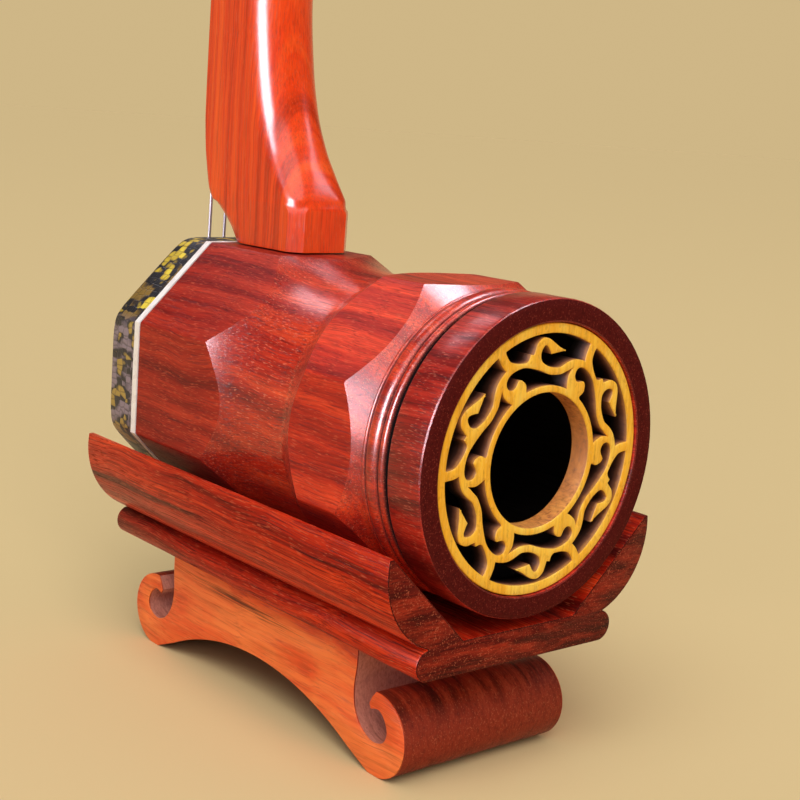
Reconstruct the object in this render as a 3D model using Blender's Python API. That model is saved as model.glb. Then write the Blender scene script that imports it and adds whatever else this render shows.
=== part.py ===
"""Zhuihu: a two-string bowed fiddle whose octagonal sound box rests on a scroll-footed tray.

X is the width, -Y is the skin side, +Y is the carved window side and +Z is up.  The origin lies
on the ground, under the middle of the whole instrument.
"""
import math

import bmesh
import bpy
from mathutils import Vector

MM = 0.001
GAP = 0.3 * MM  # glue line or clearance between neighbouring pieces
TOTAL_HEIGHT = 940 * MM

# Sound box: an octagonal tube whose waist is a turned cove and whose rear end is turned round
BOX_APOTHEM = 47.7 * MM  # axis to the middle of a face
BORE_RADIUS = 40.5 * MM
SKIN_THICKNESS = 0.8 * MM
SKIN_BAND = 15.3 * MM  # how far the skin wraps back over the sides
BINDING_WIDTH = 3.5 * MM
BINDING_PROUD = 0.2 * MM
STRAIGHT_LENGTH = 41.0 * MM  # plain octagon behind the binding, along its edges
COVE_FALL_LENGTH = 40.0 * MM  # from the octagon's edges back to the bottom of the cove
COVE_FALL_POWER = 3.0  # the fall is steep at first and flattens towards the bottom
COVE_RADIUS = 45.0 * MM  # at the bottom of the cove
COVE_RISE_LENGTH = 14.0 * MM  # from the bottom up to the octagon's edges
COVE_RISE_POWER = 1.44
REAR_EDGE_LENGTH = 18.2 * MM  # edges of the rear octagon, from the cove to the cone
CONE_SLOPE = 0.72  # fall of the turned cone per unit of length
CONE_END_RADIUS = 45.4 * MM
# Turned beads: gap before it, width, radius at its root, radius at its crest
BEADS = (
    (0.8 * MM, 1.9 * MM, 46.0 * MM, 47.3 * MM),
    (0.1 * MM, 5.3 * MM, 46.4 * MM, 48.0 * MM),
    (0.1 * MM, 2.8 * MM, 46.3 * MM, 47.5 * MM),
)
GROOVE_WIDTH = 2.4 * MM
SPIGOT_RADIUS = 44.0 * MM
SPIGOT_LENGTH = 4.0 * MM  # how far it enters the rear ring

# Rear ring and the carved window let into it
RIM_RADIUS = 48.0 * MM
RIM_LENGTH = 13.95 * MM
RIM_EDGE = 0.8 * MM
RIM_LIP = 1.5 * MM  # thickness of the lip that the window is pushed against
RIM_LIP_WIDTH = 2.8 * MM
WINDOW_RADIUS = 40.8 * MM
WINDOW_THICKNESS = 6.9 * MM
WINDOW_RECESS = 0.8 * MM
WINDOW_HOLE_RADIUS = 20.4 * MM
WINDOW_HUB_RADIUS = 22.45 * MM  # outside of the band round the centre hole
WINDOW_BAND_RADIUS = 37.8 * MM  # inside of the outer band
WINDOW_REPEATS = 6

# Neck, seen along its length: width 2 x NECK_HALF_WIDTH, fingerboard face towards -Y
NECK_HALF_WIDTH = 13.0 * MM
NECK_TOP_HALF_WIDTH = 11.5 * MM
FINGERBOARD_PROUD = 0.5 * MM  # in front of the skin
NECK_TOP_DEPTH = 25 * MM
NECK_LOW_DEPTH = 35 * MM
HEEL_FRONT_SET = 16.3 * MM  # the foot of the heel, counted back from the skin
HEEL_DEPTH = 42.0 * MM
HEEL_CHAMFER = 4.2 * MM
HEEL_HEIGHT = 15.4 * MM
TENON_HALF_WIDTH = 8.0 * MM
TENON_DEPTH = 24.0 * MM
TAIL_STUB = 3.8 * MM  # how far the tenon stands out under the box
TOP_TENON_HALF_WIDTH = 5.0 * MM
TOP_TENON_DEPTH = 10.0 * MM
TOP_TENON_LENGTH = 14.0 * MM

# Headstock with its string slot, and the two pegs across it
HEAD_HALF_WIDTH = 17.0 * MM
HEAD_FRONT_SET = 6.0 * MM  # behind the fingerboard's face
HEAD_DEPTH = 30.0 * MM
HEAD_CAP_HEIGHT = 5.0 * MM
SLOT_HALF_WIDTH = 7.0 * MM
SLOT_LENGTH = 74 * MM
HEAD_FOOT_LENGTH = 24 * MM  # end of the neck to the slot
HEAD_TIP_LENGTH = 66 * MM  # slot to the top of the cap
SLOT_BACK_WALL = 8.0 * MM
PEG_SET = 11.5 * MM  # behind the head's front
PEG_FROM_SLOT_END = 20 * MM
PEG_RADIUS = 5.4 * MM  # at the cheek next to its handle
PEG_END_RADIUS = 4.3 * MM
PEG_END_LENGTH = 6.0 * MM  # beyond the far cheek
PEG_CLEARANCE = 0.09 * MM
PEG_HANDLE_LENGTH = 54.0 * MM
PEG_HANDLE_RADIUS = 13.0 * MM
PEG_FLUTES = 8
PEG_FLUTE_DEPTH = 0.8 * MM
PEG_TIP_RADIUS = 4.5 * MM
PEG_TIP_LENGTH = 4.0 * MM
WINDING_TURNS = 4
WINDING_PITCH = 1.3 * MM

# Strings, nut, bridge and tail hook
STRING_RADIUS = 0.6 * MM
STRING_X = 3.3 * MM
NUT_HEIGHT = 5.5 * MM
NUT_PROUD = 1.6 * MM  # above the fingerboard
NUT_DEPTH = 6.8 * MM
BRIDGE_HEIGHT = 7.0 * MM
BRIDGE_THICKNESS = 5.5 * MM
BRIDGE_HALF_WIDTH = 12.0 * MM
BRIDGE_BELOW_AXIS = -4.0 * MM
HOOK_THICKNESS = 1.3 * MM
HOOK_HALF_WIDTH = 8.0 * MM
HOOK_LENGTH = 17.0 * MM
HOOK_LIP = 10.5 * MM
HOOK_STAND_OFF = 1.8 * MM  # lip to the skin

# Stand: a long tray with flaring walls on a foot with a scroll at each end
TRAY_FRONT_PROUD = 2.3 * MM  # in front of the skin
TRAY_LENGTH = 167.8 * MM
TRAY_FLOOR_THICKNESS = 10.6 * MM
TRAY_FLOOR_HALF_WIDTH = 23.2 * MM
TRAY_TOP_HALF_WIDTH = 52.8 * MM
TRAY_WALL_HEIGHT = 28.5 * MM  # above its floor
TRAY_LIP_THICKNESS = 1.8 * MM
TRAY_SIDE_RADIUS = 26.5 * MM
TRAY_MOULDING_RADIUS = 5.0 * MM
TRAY_BASE_HALF_WIDTH = 36.2 * MM
FOOT_HALF_WIDTH = 34.2 * MM
FOOT_HEIGHT = 38.3 * MM
FOOT_SET = -2.2 * MM  # middle of the foot to the middle of the tray
FOOT_ARCH_HEIGHT = 16.5 * MM
FOOT_ARCH_RADIUS = 111.0 * MM
SCROLL_RADIUS = 13.4 * MM
SCROLL_CENTRE = 63.2 * MM  # from the middle of the foot
SOLE_WIDTH = 5.0 * MM  # flat on which each scroll stands
BOLT_RADIUS = 3.0 * MM
BOLT_LENGTH = 58.0 * MM
BOLT_HEAD_RADIUS = 5.2 * MM
BOLT_HEAD_HEIGHT = 4.0 * MM
WASHER_RADIUS = 7.5 * MM
WASHER_THICKNESS = 1.2 * MM
COUNTERBORE_DEPTH = 8.0 * MM
BOLT_CLEARANCE = 0.5 * MM

# Places that follow from the sizes above
SLOT_HIGH_Z = TOTAL_HEIGHT - HEAD_TIP_LENGTH
SLOT_LOW_Z = SLOT_HIGH_Z - SLOT_LENGTH
NECK_TOP_Z = SLOT_LOW_Z - HEAD_FOOT_LENGTH
LOWER_PEG_Z = SLOT_LOW_Z + PEG_FROM_SLOT_END
UPPER_PEG_Z = SLOT_HIGH_Z - PEG_FROM_SLOT_END
CORNER = 1 / math.cos(math.pi / 8)  # edge of the octagon over its apothem
AXIS_Z = FOOT_HEIGHT + GAP + TRAY_FLOOR_THICKNESS + GAP + TAIL_STUB + BOX_APOTHEM
TRAY_BOTTOM_Z = FOOT_HEIGHT + GAP
TRAY_FLOOR_Z = TRAY_BOTTOM_Z + TRAY_FLOOR_THICKNESS
BEADS_LENGTH = sum(lead + width for lead, width, root, crest in BEADS)
EDGE_RADIUS = BOX_APOTHEM * CORNER
CONE_LENGTH = (EDGE_RADIUS - CONE_END_RADIUS) / CONE_SLOPE
BOX_LENGTH = (SKIN_BAND + BINDING_WIDTH + STRAIGHT_LENGTH + COVE_FALL_LENGTH + COVE_RISE_LENGTH
              + REAR_EDGE_LENGTH + CONE_LENGTH + BEADS_LENGTH + GROOVE_WIDTH + RIM_LENGTH)
STRING_REACH = 2 * GAP + BRIDGE_HEIGHT + STRING_RADIUS  # the strings over the bridge, from the skin
SKIN_FACE_Y = (STRING_REACH - BOX_LENGTH) / 2
WOOD_FRONT_Y = SKIN_FACE_Y + SKIN_THICKNESS + GAP
SKIN_END_Y = SKIN_FACE_Y + SKIN_BAND
SHOULDER_Y = SKIN_END_Y + BINDING_WIDTH
SEAT_APOTHEM = BOX_APOTHEM - SKIN_THICKNESS - GAP
COVE_Y = SHOULDER_Y + STRAIGHT_LENGTH + COVE_FALL_LENGTH
CONE_END_Y = COVE_Y + COVE_RISE_LENGTH + REAR_EDGE_LENGTH + CONE_LENGTH
GROOVE_Y = CONE_END_Y + BEADS_LENGTH
RIM_Y = GROOVE_Y + GROOVE_WIDTH
REAR_Y = RIM_Y + RIM_LENGTH
WINDOW_Y = REAR_Y - WINDOW_RECESS
BOX_TOP_Z = AXIS_Z + BOX_APOTHEM
BOX_BOTTOM_Z = AXIS_Z - BOX_APOTHEM
HEEL_Z = BOX_TOP_Z + GAP
HEEL_FRONT_Y = SKIN_FACE_Y + HEEL_FRONT_SET
HEEL_BACK_Y = HEEL_FRONT_Y + HEEL_DEPTH
FINGERBOARD_Y = SKIN_FACE_Y - FINGERBOARD_PROUD
HEAD_FRONT_Y = FINGERBOARD_Y + HEAD_FRONT_SET
HEAD_BACK_Y = HEAD_FRONT_Y + HEAD_DEPTH
PEG_Y = HEAD_FRONT_Y + PEG_SET
TRAY_FRONT_Y = SKIN_FACE_Y - TRAY_FRONT_PROUD
FOOT_CENTRE_Y = TRAY_FRONT_Y + TRAY_LENGTH / 2 + FOOT_SET
TENON_Y = (HEEL_FRONT_Y + HEEL_BACK_Y) / 2
HEAD_Z = NECK_TOP_Z + GAP
HEAD_TOP_Z = TOTAL_HEIGHT - HEAD_CAP_HEIGHT
BRIDGE_Z = AXIS_Z + BRIDGE_BELOW_AXIS


def clear_scene():
    for item in list(bpy.data.objects):
        bpy.data.objects.remove(item, do_unlink=True)


def material(name, colour, roughness, metallic=0.0):
    made = bpy.data.materials.new(name)
    made.use_nodes = True
    shader = made.node_tree.nodes["Principled BSDF"]
    shader.inputs["Base Color"].default_value = (*colour, 1.0)
    shader.inputs["Roughness"].default_value = roughness
    shader.inputs["Metallic"].default_value = metallic
    return made


def place(name, mesh, look, origin=(0, 0, 0), smooth_angle=35):
    """Turn a bmesh into a named object whose own origin lies at the given point."""
    bmesh.ops.remove_doubles(mesh, verts=mesh.verts, dist=1e-7)
    bmesh.ops.recalc_face_normals(mesh, faces=mesh.faces)
    if mesh.calc_volume(signed=True) < 0:
        bmesh.ops.reverse_faces(mesh, faces=mesh.faces)
    bmesh.ops.translate(mesh, verts=mesh.verts, vec=-Vector(origin))
    data = bpy.data.meshes.new(name)
    mesh.to_mesh(data)
    mesh.free()
    if look:
        data.materials.append(look)
    if smooth_angle:
        data.shade_smooth()
        data.set_sharp_from_angle(angle=math.radians(smooth_angle))
    made = bpy.data.objects.new(name, data)
    made.location = origin
    bpy.context.scene.collection.objects.link(made)
    return made


def loft(loops, closed=False):
    """Join equal rings of points by quads; a closed loft returns to its first ring."""
    mesh = bmesh.new()
    rings = [[mesh.verts.new(point) for point in loop] for loop in loops]
    count = len(rings[0])
    pairs = list(zip(rings, rings[1:]))
    if closed:
        pairs.append((rings[-1], rings[0]))
    for low, high in pairs:
        for i in range(count):
            j = (i + 1) % count
            mesh.faces.new((low[i], low[j], high[j], high[i]))
    if not closed:
        mesh.faces.new(rings[0])
        mesh.faces.new(rings[-1])
    return mesh


def prism(outline, start, stop, to_point):
    """Extrude a flat outline; to_point(u, v, w) sets the plane and the direction."""
    mesh = bmesh.new()
    ends = [[mesh.verts.new(to_point(u, v, w)) for u, v in outline] for w in (start, stop)]
    for i in range(len(outline)):
        j = (i + 1) % len(outline)
        mesh.faces.new((ends[0][i], ends[0][j], ends[1][j], ends[1][i]))
    mesh.faces.new(ends[0])
    mesh.faces.new(ends[1])
    return mesh


def cut(target, cutter):
    """Subtract a closed cutter and keep it as a hidden guide."""
    cutter.hide_render = True
    cutter.display_type = "WIRE"
    step = target.modifiers.new("cut " + cutter.name, "BOOLEAN")
    step.operation = "DIFFERENCE"
    step.solver = "EXACT"
    step.object = cutter


def arc(centre_u, centre_v, radius, start, stop, steps):
    """Points on an arc, both ends included; angles in degrees."""
    angles = [math.radians(start + (stop - start) * i / steps) for i in range(steps + 1)]
    return [(centre_u + radius * math.cos(a), centre_v + radius * math.sin(a)) for a in angles]


def spline(points, steps):
    """Smooth curve through the points, as straight steps between each pair."""
    out = []
    last = len(points) - 1
    for i in range(last):
        before, here = points[max(i - 1, 0)], points[i]
        there, after = points[i + 1], points[min(i + 2, last)]
        for k in range(steps):
            t = k / steps
            weights = (-t + 2 * t * t - t ** 3, 2 - 5 * t * t + 3 * t ** 3,
                       t + 4 * t * t - 3 * t ** 3, t ** 3 - t * t)
            four = (before, here, there, after)
            out.append(tuple(sum(w * p[axis] for w, p in zip(weights, four)) / 2 for axis in (0, 1)))
    out.append(points[-1])
    return out


def cylinder(start, stop, radius, sides=16, axis="Z"):
    """Plain round bar between two points that differ along one axis."""
    loops = []
    for end in (start, stop):
        loop = []
        for u, v in arc(0, 0, radius, 0, 360 - 360 / sides, sides - 1):
            offset = {"X": (0, u, v), "Y": (u, 0, v), "Z": (u, v, 0)}[axis]
            loop.append(Vector(end) + Vector(offset))
        loops.append(loop)
    return loft(loops)


# Angles round the box axis, with a point on each edge of the octagon
BOX_STEPS = 48
BOX_ANGLES = [math.radians(22.5 + 360 * i / BOX_STEPS) for i in range(BOX_STEPS)]


def face_angle(angle):
    """Angle from the middle of the nearest face of the octagon."""
    return (angle + math.pi / 8) % (math.pi / 4) - math.pi / 8


def octagon_radius(angle, apothem, sharpness=200):
    """Octagon with rounded edges: a lower sharpness rounds them more."""
    near = math.cos(face_angle(angle))
    beside = math.cos(math.pi / 4 - abs(face_angle(angle)))
    return apothem / (near ** sharpness + beside ** sharpness) ** (1 / sharpness)


def box_point(angle, radius, y):
    return (radius * math.cos(angle), y, AXIS_Z + radius * math.sin(angle))


def turned_loop(y, radius):
    return [box_point(angle, radius, y) for angle in BOX_ANGLES]


def octagon_loop(y, apothem, sharpness=200):
    return [box_point(a, octagon_radius(a, apothem, sharpness), y) for a in BOX_ANGLES]


def cove_side(length, power, shares):
    """One side of the cove: it cuts the edges of the octagon first and its faces later."""
    loops = []
    rise = EDGE_RADIUS - COVE_RADIUS
    for share in shares:
        loop = []
        for a in BOX_ANGLES:
            reach = length * ((octagon_radius(a, BOX_APOTHEM) - COVE_RADIUS) / rise) ** (1 / power)
            along = abs(reach) * share
            radius = COVE_RADIUS + rise * (along / abs(length)) ** power
            loop.append(box_point(a, radius, COVE_Y + math.copysign(along, length)))
        loops.append(loop)
    return loops


def waist_loops():
    return (cove_side(-COVE_FALL_LENGTH, COVE_FALL_POWER, (1, 0.86, 0.72, 0.56, 0.38, 0))
            + cove_side(COVE_RISE_LENGTH, COVE_RISE_POWER, (0.35, 0.7, 1)))


def cone_loops():
    """The turned cone cuts the octagon, so its line bows on every face."""
    loops = []
    for share in (0, 0.5, 1):
        loop = []
        for a in BOX_ANGLES:
            radius = octagon_radius(a, BOX_APOTHEM)
            start = CONE_END_Y - (radius - CONE_END_RADIUS) / CONE_SLOPE
            loop.append(box_point(a, radius + (CONE_END_RADIUS - radius) * share,
                                  start + (CONE_END_Y - start) * share))
        loops.append(loop)
    return loops


def bead_loops():
    loops = []
    y = CONE_END_Y
    for lead, width, root, crest in BEADS:
        y += lead
        for k in range(5):
            turn = math.pi * k / 4
            loops.append(turned_loop(y + width * (1 - math.cos(turn)) / 2,
                                     root + (crest - root) * math.sin(turn)))
        y += width
    return loops


def sound_box(look):
    loops = [
        octagon_loop(WOOD_FRONT_Y, SEAT_APOTHEM - SKIN_THICKNESS, 30),
        octagon_loop(WOOD_FRONT_Y + SKIN_THICKNESS, SEAT_APOTHEM, 36),
        octagon_loop(SHOULDER_Y, SEAT_APOTHEM, 60),
        octagon_loop(SHOULDER_Y, BOX_APOTHEM),
    ]
    loops += waist_loops() + cone_loops() + bead_loops()
    loops += [
        turned_loop(GROOVE_Y, SPIGOT_RADIUS),
        turned_loop(RIM_Y + SPIGOT_LENGTH, SPIGOT_RADIUS),
        turned_loop(RIM_Y + SPIGOT_LENGTH, BORE_RADIUS),
        turned_loop(WOOD_FRONT_Y, BORE_RADIUS),
    ]
    box = place("sound_box", loft(loops, closed=True), look, smooth_angle=20)
    mortise = loft([tenon_section(z, GAP) for z in (BOX_BOTTOM_Z - 10 * MM, BOX_TOP_Z + 10 * MM)])
    cut(box, place("neck_mortise", mortise, None, smooth_angle=0))
    return box


def skin_membrane(look):
    """Python skin: a flat front, rounded over its edge and wrapped back along the sides."""
    inner = BOX_APOTHEM - SKIN_THICKNESS
    back = SKIN_FACE_Y + SKIN_THICKNESS
    loops = [
        octagon_loop(SKIN_FACE_Y, BOX_APOTHEM - 2.0 * SKIN_THICKNESS, 22),
        octagon_loop(SKIN_FACE_Y + 0.5 * SKIN_THICKNESS, BOX_APOTHEM - 0.6 * SKIN_THICKNESS, 26),
        octagon_loop(SKIN_FACE_Y + 1.5 * SKIN_THICKNESS, BOX_APOTHEM, 30),
        octagon_loop(SKIN_END_Y, BOX_APOTHEM, 70),
        octagon_loop(SKIN_END_Y, inner, 90),
        octagon_loop(back + 1.2 * SKIN_THICKNESS, inner, 45),
        octagon_loop(back, inner - SKIN_THICKNESS, 45),
    ]
    return place("skin_membrane", loft(loops), look)


def binding_ring(look):
    start, stop = SKIN_END_Y + GAP, SHOULDER_Y - GAP
    outer = BOX_APOTHEM + BINDING_PROUD
    inner = SEAT_APOTHEM + GAP
    loops = [octagon_loop(start, outer), octagon_loop(stop, outer),
             octagon_loop(stop, inner), octagon_loop(start, inner)]
    return place("binding_ring", loft([loop[::3] for loop in loops], closed=True), look)


def rear_ring(look):
    """Turned ring on the spigot; a lip inside it stops the window."""
    counterbore = SPIGOT_RADIUS + GAP
    seat = WINDOW_RADIUS + GAP
    lip_radius = seat - RIM_LIP_WIDTH
    step_y = RIM_Y + SPIGOT_LENGTH + GAP
    lip_y = WINDOW_Y - WINDOW_THICKNESS - GAP
    profile = [
        (RIM_Y, counterbore), (RIM_Y, RIM_RADIUS - RIM_EDGE), (RIM_Y + RIM_EDGE, RIM_RADIUS),
        (REAR_Y - RIM_EDGE, RIM_RADIUS), (REAR_Y, RIM_RADIUS - RIM_EDGE), (REAR_Y, seat),
        (lip_y, seat), (lip_y, lip_radius), (lip_y - RIM_LIP, lip_radius),
        (step_y, lip_radius), (step_y, counterbore),
    ]
    if step_y >= lip_y - RIM_LIP:
        profile.remove((lip_y - RIM_LIP, lip_radius))
    return place("rear_ring", loft([turned_loop(y, r) for y, r in profile], closed=True), look)


# Openings of one sixth of the window: degrees round the axis and radius, as runs that meet at
# corners. The first lies outside the vine and the second inside it. The radii are drawn for a
# hub of VINE_HUB and a band of VINE_BAND, and vine_radius() fits them to the real ones.
VINE_HUB, VINE_BAND = 22.45, 37.8
VINE_OUTER_RUNS = (
    ((59.2, VINE_BAND), (59.4, 36.8), (58.5, 34.4), (56, 32.9), (53, 31.9), (50, 31.3), (48, 31.1),
     (46.2, 31.5), (44.6, 32.9)),
    ((44.6, 32.9), (42.4, 32.4)),
    ((42.4, 32.4), (41, 33.9), (39.6, 35.3), (37, 36.4), (34.5, 36.7), (31.5, 36.2), (28, 35.0),
     (24, 33.8), (19.2, 33.0)),
    ((19.2, 33.0), (24, 32.2), (29.6, 31.6)),
    ((29.6, 31.6), (31, 32.8), (33.2, 34.2), (35.3, 34.1), (37.4, 32.1), (36.6, 29.9), (32, 28.3),
     (28, 27.8), (25, 27.7), (21.5, 27.9), (19.3, 28.4), (17, 29.3), (14, 30.4), (11, 31.3),
     (7, 32.0), (2.8, 32.5)),
    ((2.8, 32.5), (3.8, 34.6), (4.0, VINE_BAND)),
)
VINE_INNER_RUNS = (
    ((10, 28.9), (12, 28.0), (15, 27.0), (18, 26.1), (21, 25.7), (25, 25.5), (29, 25.6),
     (33, 26.2), (37, 27.0), (41, 27.8), (45, 28.7), (50, 29.8), (55, 30.4), (60, 30.6),
     (63, 30.3), (65.3, 29.5), (66.2, 28.4), (65.6, 26.9), (62.8, 26.0), (60, 26.2),
     (57.8, 26.9), (56.2, 27.3), (54, 26.8), (52.2, 25.6), (51.6, 24.5), (52.8, 22.8)),
    ((52.8, 22.8), (51.6, VINE_HUB)),
    ((8.6, VINE_HUB), (10.2, 23.8), (11.4, 26.0), (11.0, 27.4), (10, 28.9)),
)
VINE_OUTER_ARC = (4.0, 59.2)  # stretch of the outer band that closes the outer opening
VINE_INNER_ARC = (51.6, 8.6)  # stretch of the hub that closes the inner one


def band_run(start, stop, radius, pitch=6.0):
    steps = max(1, round(abs(stop - start) / pitch))
    return [(start + (stop - start) * i / steps, radius) for i in range(steps + 1)]


def window_plane(degrees, radius, y):
    """Angle is counted from -X, as the window is read from behind."""
    angle = math.radians(degrees)
    return (-radius * math.cos(angle), y, AXIS_Z + radius * math.sin(angle))


def vine_radius(drawn):
    share = (drawn - VINE_HUB) / (VINE_BAND - VINE_HUB)
    return WINDOW_HUB_RADIUS + share * (WINDOW_BAND_RADIUS - WINDOW_HUB_RADIUS)


def window_outlines():
    """Outer edge, centre hole and every opening, as lists of degrees and radius in metres."""
    full = [360 * i / BOX_STEPS for i in range(BOX_STEPS)]
    outlines = [[(a, WINDOW_RADIUS) for a in full], [(a, WINDOW_HOLE_RADIUS) for a in full[::2]]]
    outer_close = band_run(*VINE_OUTER_ARC, VINE_BAND)
    inner_close = band_run(*VINE_INNER_ARC, VINE_HUB)
    for repeat in range(WINDOW_REPEATS):
        turn = repeat * 360 / WINDOW_REPEATS
        outer = [point for run in VINE_OUTER_RUNS for point in run[:-1]] + outer_close[:-1]
        inner = [point for run in VINE_INNER_RUNS[:2] for point in run[:-1]] + inner_close[:-1]
        inner += VINE_INNER_RUNS[2][:-1]
        for opening in (outer, inner):
            outlines.append([(a + turn, vine_radius(r)) for a, r in opening])
    return outlines


def sound_window(look):
    """Boxwood disc pierced by a running vine, six times round a plain centre hole."""
    mesh = bmesh.new()
    edges = []
    for outline in window_outlines():
        ring = [mesh.verts.new(window_plane(a, r, WINDOW_Y)) for a, r in outline]
        edges += [mesh.edges.new((ring[i - 1], ring[i])) for i in range(len(ring))]
    bmesh.ops.triangle_fill(mesh, edges=edges, use_beauty=True)
    grown = bmesh.ops.extrude_face_region(mesh, geom=mesh.faces[:])
    moved = [item for item in grown["geom"] if isinstance(item, bmesh.types.BMVert)]
    bmesh.ops.translate(mesh, verts=moved, vec=(0, -WINDOW_THICKNESS, 0))
    return place("sound_window", mesh, look)


def section(z, half_width, front, back, front_round, back_round, chamfered=False, steps=5):
    """Rounded rectangle in a level plane; a chamfered section cuts its rear corners straight."""
    points = []
    corners = (
        (half_width - front_round, front + front_round, front_round, 270, 360, False),
        (half_width - back_round, back - back_round, back_round, 0, 90, chamfered),
        (-half_width + back_round, back - back_round, back_round, 90, 180, chamfered),
        (-half_width + front_round, front + front_round, front_round, 180, 270, False),
    )
    for x, y, radius, start, stop, straight in corners:
        run = arc(x, y, radius, start, stop, steps)
        if straight:
            first, last = Vector(run[0]), Vector(run[-1])
            run = [tuple(first.lerp(last, i / steps)) for i in range(steps + 1)]
        points += [(u, v, z) for u, v in run]
    return points


def tenon_section(z, grow=0.0):
    return section(z, TENON_HALF_WIDTH + grow, TENON_Y - TENON_DEPTH / 2 - grow,
                   TENON_Y + TENON_DEPTH / 2 + grow, 2 * MM, 2 * MM, steps=1)


def top_tenon_section(z, grow=0.0):
    middle = (HEAD_FRONT_Y + HEAD_BACK_Y) / 2
    return section(z, TOP_TENON_HALF_WIDTH + grow, middle - TOP_TENON_DEPTH / 2 - grow,
                   middle + TOP_TENON_DEPTH / 2 + grow, 1 * MM, 1 * MM, steps=1)


def neck(look):
    """Heel, shaft and the tenon through the box; the fingerboard is the flat front of the shaft."""
    full = NECK_HALF_WIDTH
    low_back = FINGERBOARD_Y + NECK_LOW_DEPTH
    top_back = FINGERBOARD_Y + NECK_TOP_DEPTH
    chin = HEEL_Z + HEEL_HEIGHT - 1.4 * MM  # the lowest point of the fingerboard
    stations = [
        # height, half width, front, back, front rounding, back rounding, chamfered back
        (HEEL_Z, full, HEEL_FRONT_Y, HEEL_BACK_Y, 0.98 * full, HEEL_CHAMFER, True),
        (HEEL_Z + 0.34 * HEEL_HEIGHT, full, HEEL_FRONT_Y - 4.1 * MM, HEEL_BACK_Y, 0.96 * full,
         HEEL_CHAMFER, True),
        (HEEL_Z + 0.6 * HEEL_HEIGHT, full, HEEL_FRONT_Y - 8.1 * MM, HEEL_BACK_Y, 0.9 * full,
         HEEL_CHAMFER, True),
        (chin - 1.2 * MM, full, HEEL_FRONT_Y - 11.6 * MM, HEEL_BACK_Y, 0.75 * full, HEEL_CHAMFER, True),
        (chin, full, FINGERBOARD_Y + 4.0 * MM, HEEL_BACK_Y, 0.5 * full, HEEL_CHAMFER + 0.4 * MM, True),
        (HEEL_Z + HEEL_HEIGHT + 2.5 * MM, full, FINGERBOARD_Y + 2.4 * MM, HEEL_BACK_Y - 0.8 * MM,
         0.38 * full, 8.0 * MM, False),
        (HEEL_Z + HEEL_HEIGHT + 10 * MM, full, FINGERBOARD_Y + 1.2 * MM, HEEL_BACK_Y - 5.2 * MM,
         0.28 * full, 0.85 * full, False),
        (HEEL_Z + HEEL_HEIGHT + 18 * MM, full, FINGERBOARD_Y + 0.5 * MM, HEEL_BACK_Y - 10.2 * MM,
         0.18 * full, 0.95 * full, False),
        (HEEL_Z + HEEL_HEIGHT + 30 * MM, full, FINGERBOARD_Y, HEEL_BACK_Y - 16.0 * MM,
         0.12 * full, 0.98 * full, False),
        (HEEL_Z + HEEL_HEIGHT + 46 * MM, full, FINGERBOARD_Y, HEEL_BACK_Y - 20.5 * MM,
         0.1 * full, 0.98 * full, False),
        (HEEL_Z + HEEL_HEIGHT + 70 * MM, full, FINGERBOARD_Y, low_back, 0.1 * full, 0.98 * full, False),
        (NECK_TOP_Z - 60 * MM, NECK_TOP_HALF_WIDTH, FINGERBOARD_Y, top_back,
         0.1 * full, 0.96 * NECK_TOP_HALF_WIDTH, False),
        (NECK_TOP_Z - 20 * MM, NECK_TOP_HALF_WIDTH, FINGERBOARD_Y, top_back,
         0.1 * full, 0.9 * NECK_TOP_HALF_WIDTH, False),
        (NECK_TOP_Z, full, FINGERBOARD_Y, HEAD_BACK_Y - 4 * MM, 0.1 * full, 0.4 * full, False),
    ]
    shaft = [section(*station) for station in stations]
    foot = [tenon_section(z) for z in (BOX_BOTTOM_Z - TAIL_STUB, HEEL_Z + 2 * MM)]
    top = [top_tenon_section(z) for z in (NECK_TOP_Z - 2 * MM, NECK_TOP_Z + TOP_TENON_LENGTH)]
    whole = place("neck", loft(shaft), look)
    for name, loops in (("box_tenon", foot), ("head_tenon", top)):
        piece = place(name, loft(loops), None, smooth_angle=0)
        piece.hide_render = True
        piece.display_type = "WIRE"
        step = whole.modifiers.new("join " + name, "BOOLEAN")
        step.operation = "UNION"
        step.solver = "EXACT"
        step.object = piece
    drill = cylinder((0, TENON_Y, BOX_BOTTOM_Z - TAIL_STUB - MM), (0, TENON_Y, bolt_tip_z() + MM),
                     BOLT_RADIUS + GAP)
    cut(whole, place("bolt_socket", drill, None, smooth_angle=0))
    return whole


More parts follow.
